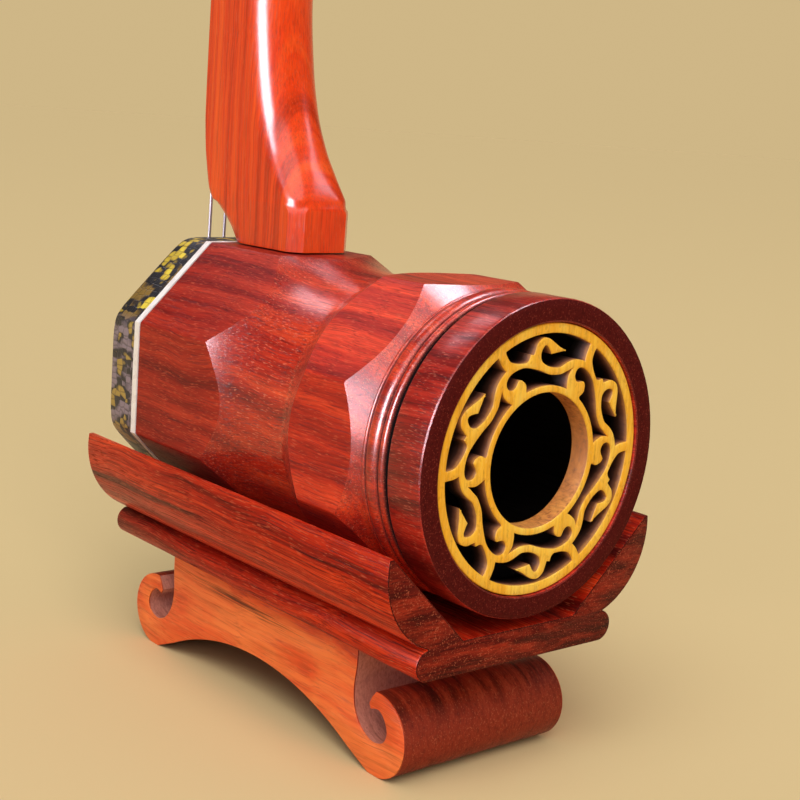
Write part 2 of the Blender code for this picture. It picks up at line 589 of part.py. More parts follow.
def headstock(look):
    """Slotted head whose spade-shaped end leans back."""
    wide = HEAD_HALF_WIDTH
    front, back = HEAD_FRONT_Y, HEAD_BACK_Y
    lean = HEAD_TOP_Z - SLOT_HIGH_Z
    stations = [
        (HEAD_Z, NECK_HALF_WIDTH, front, back - 4 * MM, 1.2 * MM, 0.4 * NECK_HALF_WIDTH),
        (HEAD_Z + 14 * MM, wide - 1.5 * MM, front, back, 2 * MM, 5 * MM),
        (SLOT_LOW_Z, wide, front, back, 3 * MM, 5 * MM),
        (SLOT_HIGH_Z, wide, front, back, 3 * MM, 5 * MM),
        (SLOT_HIGH_Z + 0.2 * lean, wide - 2.5 * MM, front + 2 * MM, back + 1 * MM, 5 * MM, 6 * MM),
        (SLOT_HIGH_Z + 0.42 * lean, wide - 1.5 * MM, front + 8 * MM, back + 2 * MM, 5 * MM, 6 * MM),
        (SLOT_HIGH_Z + 0.65 * lean, wide + 3 * MM, front + 18 * MM, back + 6 * MM, 5 * MM, 5 * MM),
        (SLOT_HIGH_Z + 0.85 * lean, wide + 6 * MM, front + 28 * MM, back + 12 * MM, 4.5 * MM, 4.5 * MM),
        (HEAD_TOP_Z, wide + 6.5 * MM, front + 35 * MM, back + 17 * MM, 4 * MM, 4 * MM),
    ]
    head = place("headstock", loft([section(*station) for station in stations]), look)
    slot_back = HEAD_BACK_Y - SLOT_BACK_WALL
    outline = arc(0, SLOT_HIGH_Z - SLOT_HALF_WIDTH, SLOT_HALF_WIDTH, 0, 180, 8)
    outline += arc(0, SLOT_LOW_Z + SLOT_HALF_WIDTH, SLOT_HALF_WIDTH, 180, 360, 8)
    slot = prism(outline, HEAD_FRONT_Y - 10 * MM, slot_back, lambda u, v, w: (u, w, v))
    cut(head, place("string_slot", slot, None, smooth_angle=0))
    mortise = loft([top_tenon_section(z, GAP) for z in (HEAD_Z - MM, NECK_TOP_Z + TOP_TENON_LENGTH + GAP)])
    cut(head, place("head_mortise", mortise, None, smooth_angle=0))
    for name, z, side in (("lower_peg_hole", LOWER_PEG_Z, 1), ("upper_peg_hole", UPPER_PEG_Z, -1)):
        # The hole's flats stay clear of the round peg as it turns
        widen = 1 / math.cos(math.pi / PEG_STEPS)
        near, far = wide + 3 * MM, -wide - 3 * MM
        loops = [peg_loop(side * x, z, (peg_radius(x) + PEG_CLEARANCE) * widen) for x in (near, far)]
        cut(head, place(name, loft(loops), None, smooth_angle=0))
    return head


def head_cap(look):
    wide = HEAD_HALF_WIDTH + 6.5 * MM
    front, back = HEAD_FRONT_Y + 35 * MM, HEAD_BACK_Y + 17 * MM
    low = HEAD_TOP_Z + GAP
    loops = [section(low, wide, front, back, 4 * MM, 4 * MM),
             section(TOTAL_HEIGHT - 1.5 * MM, wide, front + 1.5 * MM, back + 1.5 * MM, 4 * MM, 4 * MM),
             section(TOTAL_HEIGHT, wide - 2 * MM, front + 4 * MM, back - 0.5 * MM, 4 * MM, 4 * MM)]
    return place("head_cap", loft(loops), look)


PEG_STEPS = 32


def peg_radius(x):
    """Taper of a peg, with x counted towards its handle from the middle of the head."""
    share = (HEAD_HALF_WIDTH - x) / (2 * HEAD_HALF_WIDTH)
    return PEG_RADIUS + (PEG_END_RADIUS - PEG_RADIUS) * share


def peg_loop(x, z, radius, flute=0.0):
    loop = []
    for i in range(PEG_STEPS):
        angle = 2 * math.pi * i / PEG_STEPS
        r = radius - flute * (0.5 - 0.5 * math.cos(PEG_FLUTES * angle))
        loop.append((x, PEG_Y + r * math.cos(angle), z + r * math.sin(angle)))
    return loop


def peg(name, z, side, look):
    """Tapered shaft across the slot and a long fluted handle outside the cheek."""
    cheek = HEAD_HALF_WIDTH
    end = -cheek - PEG_END_LENGTH
    big, length = PEG_HANDLE_RADIUS, PEG_HANDLE_LENGTH
    profile = [
        # distance along the peg, radius, depth of its flutes
        (end, 0.72 * PEG_END_RADIUS, 0), (end + 1 * MM, peg_radius(end + 1 * MM), 0),
        (cheek + GAP, peg_radius(cheek), 0), (cheek + GAP, 0.6 * big, 0),
        (cheek + 1.6 * MM, 0.66 * big, 0), (cheek + 3.2 * MM, 0.6 * big, 0),
        (cheek + 4.2 * MM, 0.5 * big, 0), (cheek + 7 * MM, 0.52 * big, 0.3 * PEG_FLUTE_DEPTH),
        (cheek + 0.35 * length, 0.68 * big, PEG_FLUTE_DEPTH),
        (cheek + 0.65 * length, 0.9 * big, PEG_FLUTE_DEPTH),
        (cheek + 0.88 * length, big, PEG_FLUTE_DEPTH),
        (cheek + 0.96 * length, 0.9 * big, PEG_FLUTE_DEPTH),
        (cheek + length, 0.6 * big, 0),
    ]
    loops = [peg_loop(side * x, z, r, flute) for x, r, flute in profile]
    return place(name, loft(loops), look, origin=(0, PEG_Y, z), smooth_angle=45)


def peg_tip(name, z, side, look):
    start = HEAD_HALF_WIDTH + PEG_HANDLE_LENGTH + GAP
    profile = [(0, 1.0), (0.45, 0.95), (0.8, 0.7), (1.0, 0.35)]
    loops = [peg_loop(side * (start + along * PEG_TIP_LENGTH), z, share * PEG_TIP_RADIUS)[::2]
             for along, share in profile]
    return place(name, loft(loops), look, origin=(0, PEG_Y, z))


def winding_radius(x):
    return peg_radius(x) + GAP + 2 * STRING_RADIUS


def winding(name, z, side, string_side, look):
    """Turns of string on the peg, as one ridged sleeve."""
    middle = string_side * STRING_X
    start = middle - WINDING_TURNS * WINDING_PITCH / 2
    inner = max(peg_radius(side * x) for x in (start, start + WINDING_TURNS * WINDING_PITCH)) + GAP
    loops = []
    for turn in range(WINDING_TURNS):
        for share, rise in ((0.0, 0.5), (0.5, 1.0)):
            loops.append(peg_loop(start + (turn + share) * WINDING_PITCH, z,
                                  inner + 2 * STRING_RADIUS * rise)[::2])
    stop = start + WINDING_TURNS * WINDING_PITCH
    loops.append(peg_loop(stop, z, inner + STRING_RADIUS)[::2])
    loops += [peg_loop(stop, z, inner)[::2], peg_loop(start, z, inner)[::2]]
    return place(name, loft(loops, closed=True), look, origin=(0, PEG_Y, z), smooth_angle=60)


def nut(look):
    """Bone block on the end of the neck, with a notch for each string."""
    front = FINGERBOARD_Y - NUT_PROUD
    back = min(front + NUT_DEPTH, HEAD_FRONT_Y - GAP)
    notch = STRING_RADIUS
    outline = [(-NECK_HALF_WIDTH, back), (-NECK_HALF_WIDTH, front + 0.8 * MM),
               (-NECK_HALF_WIDTH + 0.8 * MM, front)]
    for x in (-STRING_X, STRING_X):
        outline += [(x - 1.3 * notch, front), (x, front + notch), (x + 1.3 * notch, front)]
    outline += [(NECK_HALF_WIDTH - 0.8 * MM, front), (NECK_HALF_WIDTH, front + 0.8 * MM),
                (NECK_HALF_WIDTH, back)]
    mesh = prism(outline, HEAD_Z, HEAD_Z + NUT_HEIGHT, lambda u, v, w: (u, v, w))
    return place("nut", mesh, look)


def bridge(look):
    """Small arched bridge standing on the skin, its two notches under the strings."""
    half, high = BRIDGE_HALF_WIDTH, BRIDGE_HEIGHT
    notch = STRING_RADIUS
    right = [(0.42 * half, 0), (half, 0), (0.96 * half, 0.18 * high), (0.72 * half, 0.42 * high),
             (0.6 * half, 0.7 * high), (0.52 * half, high), (STRING_X + 1.3 * notch, high),
             (STRING_X, high - notch), (STRING_X - 1.3 * notch, high)]
    underside = [(0, 0.4 * high), (0.26 * half, 0.3 * high)]
    left = [(-u, v) for u, v in reversed(right)]
    outline = underside + right + left + [(-underside[1][0], underside[1][1])]
    base = SKIN_FACE_Y - GAP
    low = BRIDGE_Z - BRIDGE_THICKNESS / 2
    mesh = prism(outline, low, low + BRIDGE_THICKNESS, lambda u, v, w: (u, base - v, w))
    return place("bridge", mesh, look)


def bridge_notch_y():
    return SKIN_FACE_Y - GAP - BRIDGE_HEIGHT + STRING_RADIUS


def tail_hook(look):
    """Bent steel plate under the front edge of the box; the strings end on its lip."""
    top = BOX_BOTTOM_Z - BINDING_PROUD - GAP
    front = SKIN_FACE_Y - HOOK_STAND_OFF
    thick = HOOK_THICKNESS
    outline = [
        (front + HOOK_LENGTH, top), (front + HOOK_LENGTH, top - thick), (front + 0.4 * thick, top - thick),
        (front, top - 0.6 * thick), (front, top + HOOK_LIP), (front + thick, top + HOOK_LIP),
        (front + thick, top + 0.1 * thick), (front + 1.1 * thick, top),
    ]
    mesh = prism(outline, -HOOK_HALF_WIDTH, HOOK_HALF_WIDTH, lambda u, v, w: (w, u, v))
    return place("tail_hook", mesh, look)


def string(name, x, peg_z, side, look):
    """Taut string: off the front of its turns, over the nut and bridge, to the hook's lip."""
    clear = STRING_RADIUS + GAP
    peg_side = winding_radius(side * x) + clear + 0.15 * MM
    route = [
        (x, PEG_Y - peg_side, peg_z),
        (x, FINGERBOARD_Y - NUT_PROUD + STRING_RADIUS - clear, HEAD_Z + NUT_HEIGHT - 0.4 * MM),
        (x, FINGERBOARD_Y - NUT_PROUD + STRING_RADIUS - clear, HEAD_Z + 0.4 * MM),
        (x, bridge_notch_y() - clear, BRIDGE_Z + BRIDGE_THICKNESS / 2),
        (x, bridge_notch_y() - clear, BRIDGE_Z - BRIDGE_THICKNESS / 2),
        (x, SKIN_FACE_Y - HOOK_STAND_OFF - clear, BOX_BOTTOM_Z + HOOK_LIP - 2 * MM),
        (x, SKIN_FACE_Y - HOOK_STAND_OFF - clear, BOX_BOTTOM_Z + 2 * MM),
    ]
    curve = bpy.data.curves.new(name, "CURVE")
    curve.dimensions = "3D"
    curve.bevel_depth = STRING_RADIUS
    curve.bevel_resolution = 2
    curve.use_fill_caps = True
    line = curve.splines.new("POLY")
    line.points.add(len(route) - 1)
    for point, place_at in zip(line.points, route):
        point.co = (*place_at, 1)
    curve.materials.append(look)
    made = bpy.data.objects.new(name, curve)
    bpy.context.scene.collection.objects.link(made)
    return made


def tray_outline():
    """Half section from the middle of the floor round to the middle of the underside."""
    top_z = TRAY_FLOOR_Z + TRAY_WALL_HEIGHT
    moulding_z = TRAY_BOTTOM_Z + TRAY_MOULDING_RADIUS
    side_x = TRAY_TOP_HALF_WIDTH + TRAY_LIP_THICKNESS - TRAY_SIDE_RADIUS
    side_z = top_z - 0.16 * TRAY_SIDE_RADIUS
    crease_angle = -math.degrees(math.asin((side_z - moulding_z - TRAY_MOULDING_RADIUS) / TRAY_SIDE_RADIUS))
    half = [(TRAY_FLOOR_HALF_WIDTH, TRAY_FLOOR_Z), (TRAY_TOP_HALF_WIDTH, top_z)]
    half += arc(side_x, side_z, TRAY_SIDE_RADIUS, 9, crease_angle, 8)
    half += arc(TRAY_BASE_HALF_WIDTH, moulding_z, TRAY_MOULDING_RADIUS, 78, -90, 7)
    return half


def tray(look):
    half = tray_outline()
    outline = half + [(-u, v) for u, v in reversed(half)]
    mesh = prism(outline, TRAY_FRONT_Y, TRAY_FRONT_Y + TRAY_LENGTH, lambda u, v, w: (u, w, v))
    made = place("tray", mesh, look)
    drill = cylinder((0, TENON_Y, TRAY_BOTTOM_Z - MM), (0, TENON_Y, TRAY_FLOOR_Z + MM),
                     BOLT_RADIUS + BOLT_CLEARANCE)
    cut(made, place("tray_bolt_hole", drill, None, smooth_angle=0))
    return made


def foot_outline():
    """Half of the foot's side: arch, scroll, its curled tail, the eye and the slot above it."""
    eye = SCROLL_CENTRE
    arch_low = FOOT_ARCH_HEIGHT - FOOT_ARCH_RADIUS
    # The arch runs from its crown to where it meets the underside of the scroll
    arch_end = math.degrees(math.asin(0.8 * eye / FOOT_ARCH_RADIUS))
    half = arc(0, arch_low, FOOT_ARCH_RADIUS, 90, 90 - arch_end, 7)
    sole_angle = math.degrees(math.asin(SOLE_WIDTH / 2 / SCROLL_RADIUS))
    scroll_z = SCROLL_RADIUS * math.cos(math.radians(sole_angle))
    half.append((eye - SOLE_WIDTH / 2, 0))
    half += arc(eye, scroll_z, SCROLL_RADIUS, sole_angle - 90, 96, 12)
    hook = [
        (eye - 2.9 * MM, 24.6 * MM), (eye - 4.1 * MM, 22.0 * MM),
        (eye - 3.2 * MM, 20.4 * MM), (eye + 0.4 * MM, 21.2 * MM), (eye + 3.2 * MM, 19.2 * MM),
        (eye + 4.8 * MM, 15.4 * MM), (eye + 3.2 * MM, 11.8 * MM), (eye - 1.4 * MM, 10.4 * MM),
        (eye - 6.6 * MM, 12.6 * MM), (eye - 10.3 * MM, 17.6 * MM), (eye - 11.5 * MM, 24.0 * MM),
        (eye - 10.9 * MM, 31.5 * MM), (eye - 10.9 * MM, FOOT_HEIGHT),
    ]
    half += hook[:2] + spline(hook[2:], 2)
    return half


def scroll_foot(look):
    half = foot_outline()
    outline = half + [(-u, v) for u, v in reversed(half[1:])]
    mesh = prism(outline, -FOOT_HALF_WIDTH, FOOT_HALF_WIDTH, lambda u, v, w: (w, FOOT_CENTRE_Y + u, v))
    made = place("scroll_foot", mesh, look)
    drill = cylinder((0, TENON_Y, 0), (0, TENON_Y, FOOT_HEIGHT + MM),
                     BOLT_RADIUS + BOLT_CLEARANCE)
    cut(made, place("foot_bolt_hole", drill, None, smooth_angle=0))
    recess = cylinder((0, TENON_Y, -MM), (0, TENON_Y, recess_top_z()), WASHER_RADIUS + GAP, 24)
    cut(made, place("foot_counterbore", recess, None, smooth_angle=0))
    return made


def arch_z(y):
    """Height of the arch over the ground at a place along the foot."""
    along = y - FOOT_CENTRE_Y
    return FOOT_ARCH_HEIGHT - FOOT_ARCH_RADIUS + math.sqrt(FOOT_ARCH_RADIUS ** 2 - along ** 2)


def recess_top_z():
    return arch_z(TENON_Y) + COUNTERBORE_DEPTH


def bolt_tip_z():
    return recess_top_z() - WASHER_THICKNESS - GAP + BOLT_LENGTH


def base_bolt(look):
    """Hexagon bolt from under the foot, through the tray and into the neck's tail."""
    under_head = recess_top_z() - 2 * GAP - WASHER_THICKNESS
    head_low = under_head - BOLT_HEAD_HEIGHT
    loops = []
    for z, radius, sides in ((head_low, BOLT_HEAD_RADIUS, 6), (under_head, BOLT_HEAD_RADIUS, 6),
                             (under_head, BOLT_RADIUS, 12), (bolt_tip_z() - MM, BOLT_RADIUS, 12),
                             (bolt_tip_z(), 0.7 * BOLT_RADIUS, 12)):
        flat = radius * math.cos(math.pi / sides)
        loop = []
        for i in range(12):
            angle = 2 * math.pi * i / 12
            off = (angle + math.pi / sides) % (2 * math.pi / sides) - math.pi / sides
            reach = flat / math.cos(off) if sides == 6 else radius
            loop.append((reach * math.cos(angle), TENON_Y + reach * math.sin(angle), z))
        loops.append(loop)
    return place("base_bolt", loft(loops), look)


def bolt_washer(look):
    top = recess_top_z() - GAP
    loops = []
    for z, radius in ((top - WASHER_THICKNESS, BOLT_RADIUS + BOLT_CLEARANCE), (top - WASHER_THICKNESS, WASHER_RADIUS),
                      (top, WASHER_RADIUS), (top, BOLT_RADIUS + BOLT_CLEARANCE)):
        loops.append([(u, TENON_Y + v, z) for u, v in arc(0, 0, radius, 0, 345, 23)])
    return place("bolt_washer", loft(loops, closed=True), look)


clear_scene()
ROSEWOOD = material("rosewood", (0.38, 0.05, 0.02), 0.25)
NECK_ROSEWOOD = material("neck_rosewood", (0.60, 0.11, 0.03), 0.2)
FOOT_ROSEWOOD = material("foot_rosewood", (0.72, 0.18, 0.05), 0.35)
BOXWOOD = material("boxwood", (0.90, 0.53, 0.09), 0.45)
PYTHON_SKIN = material("python_skin", (0.10, 0.08, 0.09), 0.4)
WHITE_BINDING = material("white_binding", (0.92, 0.88, 0.86), 0.35)
BONE = material("bone", (0.86, 0.80, 0.66), 0.35)
STEEL = material("steel", (0.55, 0.55, 0.60), 0.3, 1.0)
BRIDGE_WOOD = material("bridge_wood", (0.45, 0.28, 0.13), 0.5)

sound_box(ROSEWOOD)
skin_membrane(PYTHON_SKIN)
binding_ring(WHITE_BINDING)
rear_ring(ROSEWOOD)
sound_window(BOXWOOD)
neck(NECK_ROSEWOOD)
headstock(NECK_ROSEWOOD)
head_cap(BONE)
nut(BONE)
bridge(BRIDGE_WOOD)
tail_hook(STEEL)
tray(ROSEWOOD)
scroll_foot(FOOT_ROSEWOOD)
base_bolt(STEEL)
bolt_washer(STEEL)
for label, height, handle_side in (("upper", UPPER_PEG_Z, -1), ("lower", LOWER_PEG_Z, 1)):
    string_side = handle_side
    peg(label + "_peg", height, handle_side, ROSEWOOD)
    peg_tip(label + "_peg_tip", height, handle_side, BONE)
    winding(label + "_winding", height, handle_side, string_side, STEEL)
    name = {"upper": "inner_string", "lower": "outer_string"}[label]
    string(name, string_side * STRING_X, height, handle_side, STEEL)
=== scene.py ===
"""Looks of a zhuihu, a two-string bowed fiddle, standing in its tray on a scrolled foot.

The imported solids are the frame. X is the width, -Y the skin side, +Y the carved window side and
+Z up. Sizes are in millimetres and turned to metres when a mesh is finished.
"""
import math

import bmesh
import bpy
from mathutils import Matrix, Vector


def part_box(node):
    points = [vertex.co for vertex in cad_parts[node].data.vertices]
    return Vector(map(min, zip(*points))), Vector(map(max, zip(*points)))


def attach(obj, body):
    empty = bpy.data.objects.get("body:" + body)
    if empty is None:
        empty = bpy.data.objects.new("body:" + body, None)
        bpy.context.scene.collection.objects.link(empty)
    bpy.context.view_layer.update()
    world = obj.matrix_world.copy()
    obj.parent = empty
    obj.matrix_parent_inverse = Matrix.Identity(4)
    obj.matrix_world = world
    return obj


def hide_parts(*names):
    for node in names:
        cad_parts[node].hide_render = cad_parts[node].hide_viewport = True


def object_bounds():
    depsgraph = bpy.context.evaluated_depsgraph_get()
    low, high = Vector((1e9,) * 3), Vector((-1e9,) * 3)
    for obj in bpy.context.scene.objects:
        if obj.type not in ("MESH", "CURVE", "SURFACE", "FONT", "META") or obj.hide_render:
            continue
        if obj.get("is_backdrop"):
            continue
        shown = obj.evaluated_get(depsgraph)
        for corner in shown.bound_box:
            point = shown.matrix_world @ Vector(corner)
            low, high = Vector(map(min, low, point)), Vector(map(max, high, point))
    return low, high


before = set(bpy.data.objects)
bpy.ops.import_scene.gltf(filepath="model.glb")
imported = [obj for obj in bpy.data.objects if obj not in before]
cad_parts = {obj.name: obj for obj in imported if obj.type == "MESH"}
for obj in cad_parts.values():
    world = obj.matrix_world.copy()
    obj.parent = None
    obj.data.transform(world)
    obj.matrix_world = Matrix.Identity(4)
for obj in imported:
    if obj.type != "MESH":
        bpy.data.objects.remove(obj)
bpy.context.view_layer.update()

# Studio: a pale sand-coloured floor that runs out to the horizon under an even sky, a tall strip
# lamp on each side of the camera, which draw the long highlights on the wood, and one overhead.
# The camera stands where the photographer's did, behind the fiddle and a little above its box.
MM = 0.001
SAND = "#DEC491"
SKY_STRENGTH = 0.37  # light from the whole sky, on a scale where 1 shows white as white
SUN_STRENGTH, SUN_HEIGHT = 1.75, 60  # a broad sun evens the floor out to the horizon


def linear(colour):
    """An sRGB hex colour as the linear colour with alpha that the sockets take."""
    parts = [int(colour[i:i + 2], 16) / 255 for i in (1, 3, 5)]
    return (*[p / 12.92 if p <= 0.04045 else ((p + 0.055) / 1.055) ** 2.4 for p in parts], 1.0)


def add(tree, kind, links=None, stops=None, **settings):
    """Add a node: settings are its properties, links its sockets' values or the nodes feeding them."""
    made = tree.nodes.new("ShaderNode" + kind)
    for key, value in settings.items():
        setattr(made, key, value)
    for place, value in (links or {}).items():
        if isinstance(value, bpy.types.Node):
            value = value.outputs[0]
        if isinstance(value, bpy.types.NodeSocket):
            tree.links.new(value, made.inputs[place])
        else:
            made.inputs[place].default_value = value
    for number, (at, colour) in enumerate(stops or ()):
        ramp = made.color_ramp.elements
        stop = ramp[number] if number < len(ramp) else ramp.new(at)
        stop.position, stop.color = at, colour
    return made


def fresh(name):
    """An empty material and its node tree."""
    made = bpy.data.materials.new(name)
    made.use_nodes = True
    made.node_tree.nodes.clear()
    return made, made.node_tree


floor_look, tree = fresh("sand_paper_floor")
sheet = add(tree, "BsdfDiffuse", {"Color": linear(SAND)})
add(tree, "OutputMaterial", {"Surface": sheet})

mesh = bmesh.new()
bmesh.ops.create_circle(mesh, cap_ends=True, segments=96, radius=30)
floor_mesh = bpy.data.meshes.new("floor")
mesh.to_mesh(floor_mesh)
mesh.free()
floor_mesh.materials.append(floor_look)
floor = bpy.data.objects.new("floor", floor_mesh)
bpy.context.scene.collection.objects.link(floor)
floor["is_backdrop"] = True

world = bpy.data.worlds.new("even_sky")
bpy.context.scene.world = world
world.use_nodes = True
tree = world.node_tree
tree.nodes.clear()
ray = add(tree, "LightPath")
seen = add(tree, "Math", {0: ray.outputs["Is Camera Ray"], 1: ray.outputs["Is Glossy Ray"]},
           operation="MAXIMUM")
seen = add(tree, "Math", {0: seen, 1: ray.outputs["Is Transmission Ray"]}, operation="MAXIMUM")
light = add(tree, "Background", {"Color": (1, 1, 1, 1), "Strength": SKY_STRENGTH})
# The backdrop has the floor's colour at the horizon and darkens towards a dim ceiling
rising = add(tree, "SeparateXYZ", {0: add(tree, "TexCoord")}).outputs["Z"]
ceiling = add(tree, "ValToRGB", {0: rising}, stops=((0.09, linear(SAND)), (0.27, linear("#3A3026"))))
backdrop = add(tree, "Background", {"Color": ceiling, "Strength": SKY_STRENGTH
                                    + SUN_STRENGTH * math.sin(math.radians(SUN_HEIGHT)) / math.pi})
sky = add(tree, "MixShader", {0: seen, 1: light, 2: backdrop})
add(tree, "OutputWorld", {"Surface": sky})

# Each lamp: compass angle and height angle seen from the box, distance, width and height, power.
# The reflectors are only mirrored by the lacquer, and the key panel only lights.
LAMPS = {
    "key_panel": (150, 34, 3.0, 1.6, 1.6, 22.0),
    "left_reflector": (99, 14, 1.0, 0.50, 0.62, 46.0),
    "right_reflector": (-122, 42, 1.3, 0.12, 0.5, 2.2),
    "top_reflector": (-101, 69, 1.2, 0.40, 0.40, 17.0),
    "front_reflector": (-8, 44, 1.3, 0.50, 0.36, 3.6),
}
for name, (compass, height, distance, width, length, power) in LAMPS.items():
    lamp = bpy.data.lights.new(name, "AREA")
    lamp.shape, lamp.size, lamp.size_y, lamp.energy = "RECTANGLE", width, length, power
    aim = Vector((math.sin(math.radians(compass)) * math.cos(math.radians(height)),
                  -math.cos(math.radians(compass)) * math.cos(math.radians(height)),
                  math.sin(math.radians(height))))
    held = bpy.data.objects.new(name, lamp)
    held.location = Vector((0, 0, 0.15)) + aim * distance
    held.rotation_mode = "QUATERNION"
    held.rotation_quaternion = (-aim).to_track_quat("-Z", "Y")
    held.visible_glossy = "reflector" in name
    held.visible_diffuse = not held.visible_glossy
    if held.visible_glossy:
        lamp.color = (0.93, 0.88, 1.0)
    bpy.context.scene.collection.objects.link(held)
sun = bpy.data.lights.new("broad_sun", "SUN")
sun.energy, sun.angle = SUN_STRENGTH, math.radians(50)
held = bpy.data.objects.new("broad_sun", sun)
held.rotation_euler = (math.radians(90 - SUN_HEIGHT), 0, math.radians(125))
bpy.context.scene.collection.objects.link(held)

yaw, pitch, roll = (math.radians(turn) for turn in (38.832, -11.571, 3.993))
ahead = Vector((-math.sin(yaw) * math.cos(pitch), -math.cos(yaw) * math.cos(pitch), math.sin(pitch)))
level = ahead.cross(Vector((0, 0, 1))).normalized()
upright = level.cross(ahead)
side = math.cos(roll) * level + math.sin(roll) * upright
top = -math.sin(roll) * level + math.cos(roll) * upright
lens = bpy.data.cameras.new("camera")
lens.sensor_width, lens.lens, lens.clip_start = 36, 65.626, 0.01
lens.shift_x, lens.shift_y = 0.092955, 0.02018
camera = bpy.data.objects.new("camera", lens)
camera.matrix_world = (Matrix.Translation((0.31010, 0.37096, 0.19493))
                       @ Matrix((side, top, -ahead)).transposed().to_4x4())
bpy.context.scene.collection.objects.link(camera)
bpy.context.scene.camera = camera
bpy.context.scene.view_settings.view_transform = "Standard"

# Sound box: one block of red rosewood, planed to eight faces. A turned cove draws in its waist and
# leaves a scallop on each face; the rear end is turned to a cone, three beads and a groove.
AXIS = 101.0  # height of the box's axis over the ground
APOTHEM, EDGE_RADIUS, BORE = 47.7, 47.7 / math.cos(math.pi / 8), 40.5
SKIN_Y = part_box("skin_membrane")[0].y / MM
BOX_FRONT_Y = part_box("sound_box")[0].y / MM
SHOULDER_Y = SKIN_Y + 18.8
COVE_Y, COVE_BOTTOM = SHOULDER_Y + 81.0, 45.0
CONE_END_Y, CONE_SLOPE, CONE_END = COVE_Y + 32.2 + (EDGE_RADIUS - 45.4) / 0.72, 0.72, 45.4
GROOVE_Y = CONE_END_Y + 11.0
RIM_Y = GROOVE_Y + 2.4
FACE_TURNS = (-22.5, -22.25, -21.9, -21.3, -20, -17, -13, -9, -4.5, 0, 4.5, 9, 13, 17, 20, 21.3,
              21.9, 22.25)
BOX_TURNS = [math.radians(45 * face + turn) for face in range(8) for turn in FACE_TURNS]


def octagon(angle, apothem, sharpness=260):
    """Reach of an octagon with slightly rounded edges at an angle round its axis."""
    off = (angle + math.pi / 8) % (math.pi / 4) - math.pi / 8
    near, beside = math.cos(off), math.cos(math.pi / 4 - abs(off))
    return apothem / (near ** sharpness + beside ** sharpness) ** (1 / sharpness)


def around(y, reach, sharpness=260, turned=False):
    """Ring round the box's axis: a circle when turned, an octagon otherwise."""
    return [(math.cos(a) * r, y, AXIS + math.sin(a) * r)
            for a in BOX_TURNS for r in (reach if turned else octagon(a, reach, sharpness),)]


def cove(length, power, shares):
    """Rings of one side of the cove, each as far along as the octagon lets it reach."""
    rings, rise = [], EDGE_RADIUS - COVE_BOTTOM
    for share in shares:
        ring = []
        for a in BOX_TURNS:
            reach = abs(length) * ((octagon(a, APOTHEM) - COVE_BOTTOM) / rise) ** (1 / power)
            along = reach * share
            radius = COVE_BOTTOM + rise * (along / abs(length)) ** power
            ring.append((math.cos(a) * radius, COVE_Y + math.copysign(along, length),
                         AXIS + math.sin(a) * radius))
        rings.append(ring)
    return rings


def cone(shares):
    rings = []
    for share in shares:
        ring = []
        for a in BOX_TURNS:
            radius = octagon(a, APOTHEM)
            start = CONE_END_Y - (radius - CONE_END) / CONE_SLOPE
            reach = radius + (CONE_END - radius) * share
            ring.append((math.cos(a) * reach, start + (CONE_END_Y - start) * share,
                         AXIS + math.sin(a) * reach))
        rings.append(ring)
    return rings


def loft(rings, closed=False, crisp=(), finish=None):
    """Skin equal rings; crisp rings keep a sharp edge, finish numbers the material of each band."""
    mesh = bmesh.new()
    rows = [[mesh.verts.new(point) for point in ring] for ring in rings]
    count = len(rows[0])
    bands = list(zip(rows, rows[1:] + rows[:1])) if closed else list(zip(rows, rows[1:]))
    for number, (low, high) in enumerate(bands):
        for i in range(count):
            j = (i + 1) % count
            face = mesh.faces.new((low[i], low[j], high[j], high[i]))
            face.material_index = finish[number] if finish else 0
    if not closed:
        mesh.faces.new(rows[0])
        mesh.faces.new(rows[-1])
    for number in crisp:
        row = rows[number]
        for i in range(count):
            mesh.edges.get((row[i - 1], row[i])).smooth = False
    return mesh


def piece(name, mesh, looks, slot, replaced=(), body="instrument", sharp_over=32, centre=(0, 0, 0)):
    """Finish a mesh in millimetres as a named piece that rides on a body, with crisp edges kept."""
    bmesh.ops.remove_doubles(mesh, verts=mesh.verts, dist=1e-4)
    bmesh.ops.recalc_face_normals(mesh, faces=mesh.faces)
    if mesh.calc_volume(signed=True) < 0:
        bmesh.ops.reverse_faces(mesh, faces=mesh.faces)
    for edge in mesh.edges:
        edge.smooth = edge.smooth and edge.calc_face_angle(0) < math.radians(sharp_over)
    for face in mesh.faces:
        face.smooth = True
    bmesh.ops.translate(mesh, verts=mesh.verts, vec=-Vector(centre))
    bmesh.ops.scale(mesh, verts=mesh.verts, vec=(MM, MM, MM))
    data = bpy.data.meshes.new(name)
    mesh.to_mesh(data)
    mesh.free()
    for look in looks:
        data.materials.append(look)
    made = bpy.data.objects.new(name, data)
    made.location = Vector(centre) * MM
    bpy.context.scene.collection.objects.link(made)
    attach(made, body)
    if replaced:
        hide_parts(*replaced)
    return made


def carve(made, mesh, operation="DIFFERENCE"):
    """Cut a closed mesh in millimetres out of a piece, or join it, and keep only the result."""
    bmesh.ops.recalc_face_normals(mesh, faces=mesh.faces)
    if mesh.calc_volume(signed=True) < 0:
        bmesh.ops.reverse_faces(mesh, faces=mesh.faces)
    bmesh.ops.scale(mesh, verts=mesh.verts, vec=(MM, MM, MM))
    data = bpy.data.meshes.new("tool")
    mesh.to_mesh(data)
    mesh.free()
    tool = bpy.data.objects.new("tool", data)
    bpy.context.scene.collection.objects.link(tool)
    step = made.modifiers.new("carve", "BOOLEAN")
    step.operation, step.solver, step.object = operation, "EXACT", tool
    bpy.context.view_layer.update()
    evaluated = made.evaluated_get(bpy.context.evaluated_depsgraph_get())
    result = bpy.data.meshes.new_from_object(evaluated)
    made.modifiers.clear()
    result.name, made.data = made.data.name + "_carved", result
    bpy.data.objects.remove(tool)


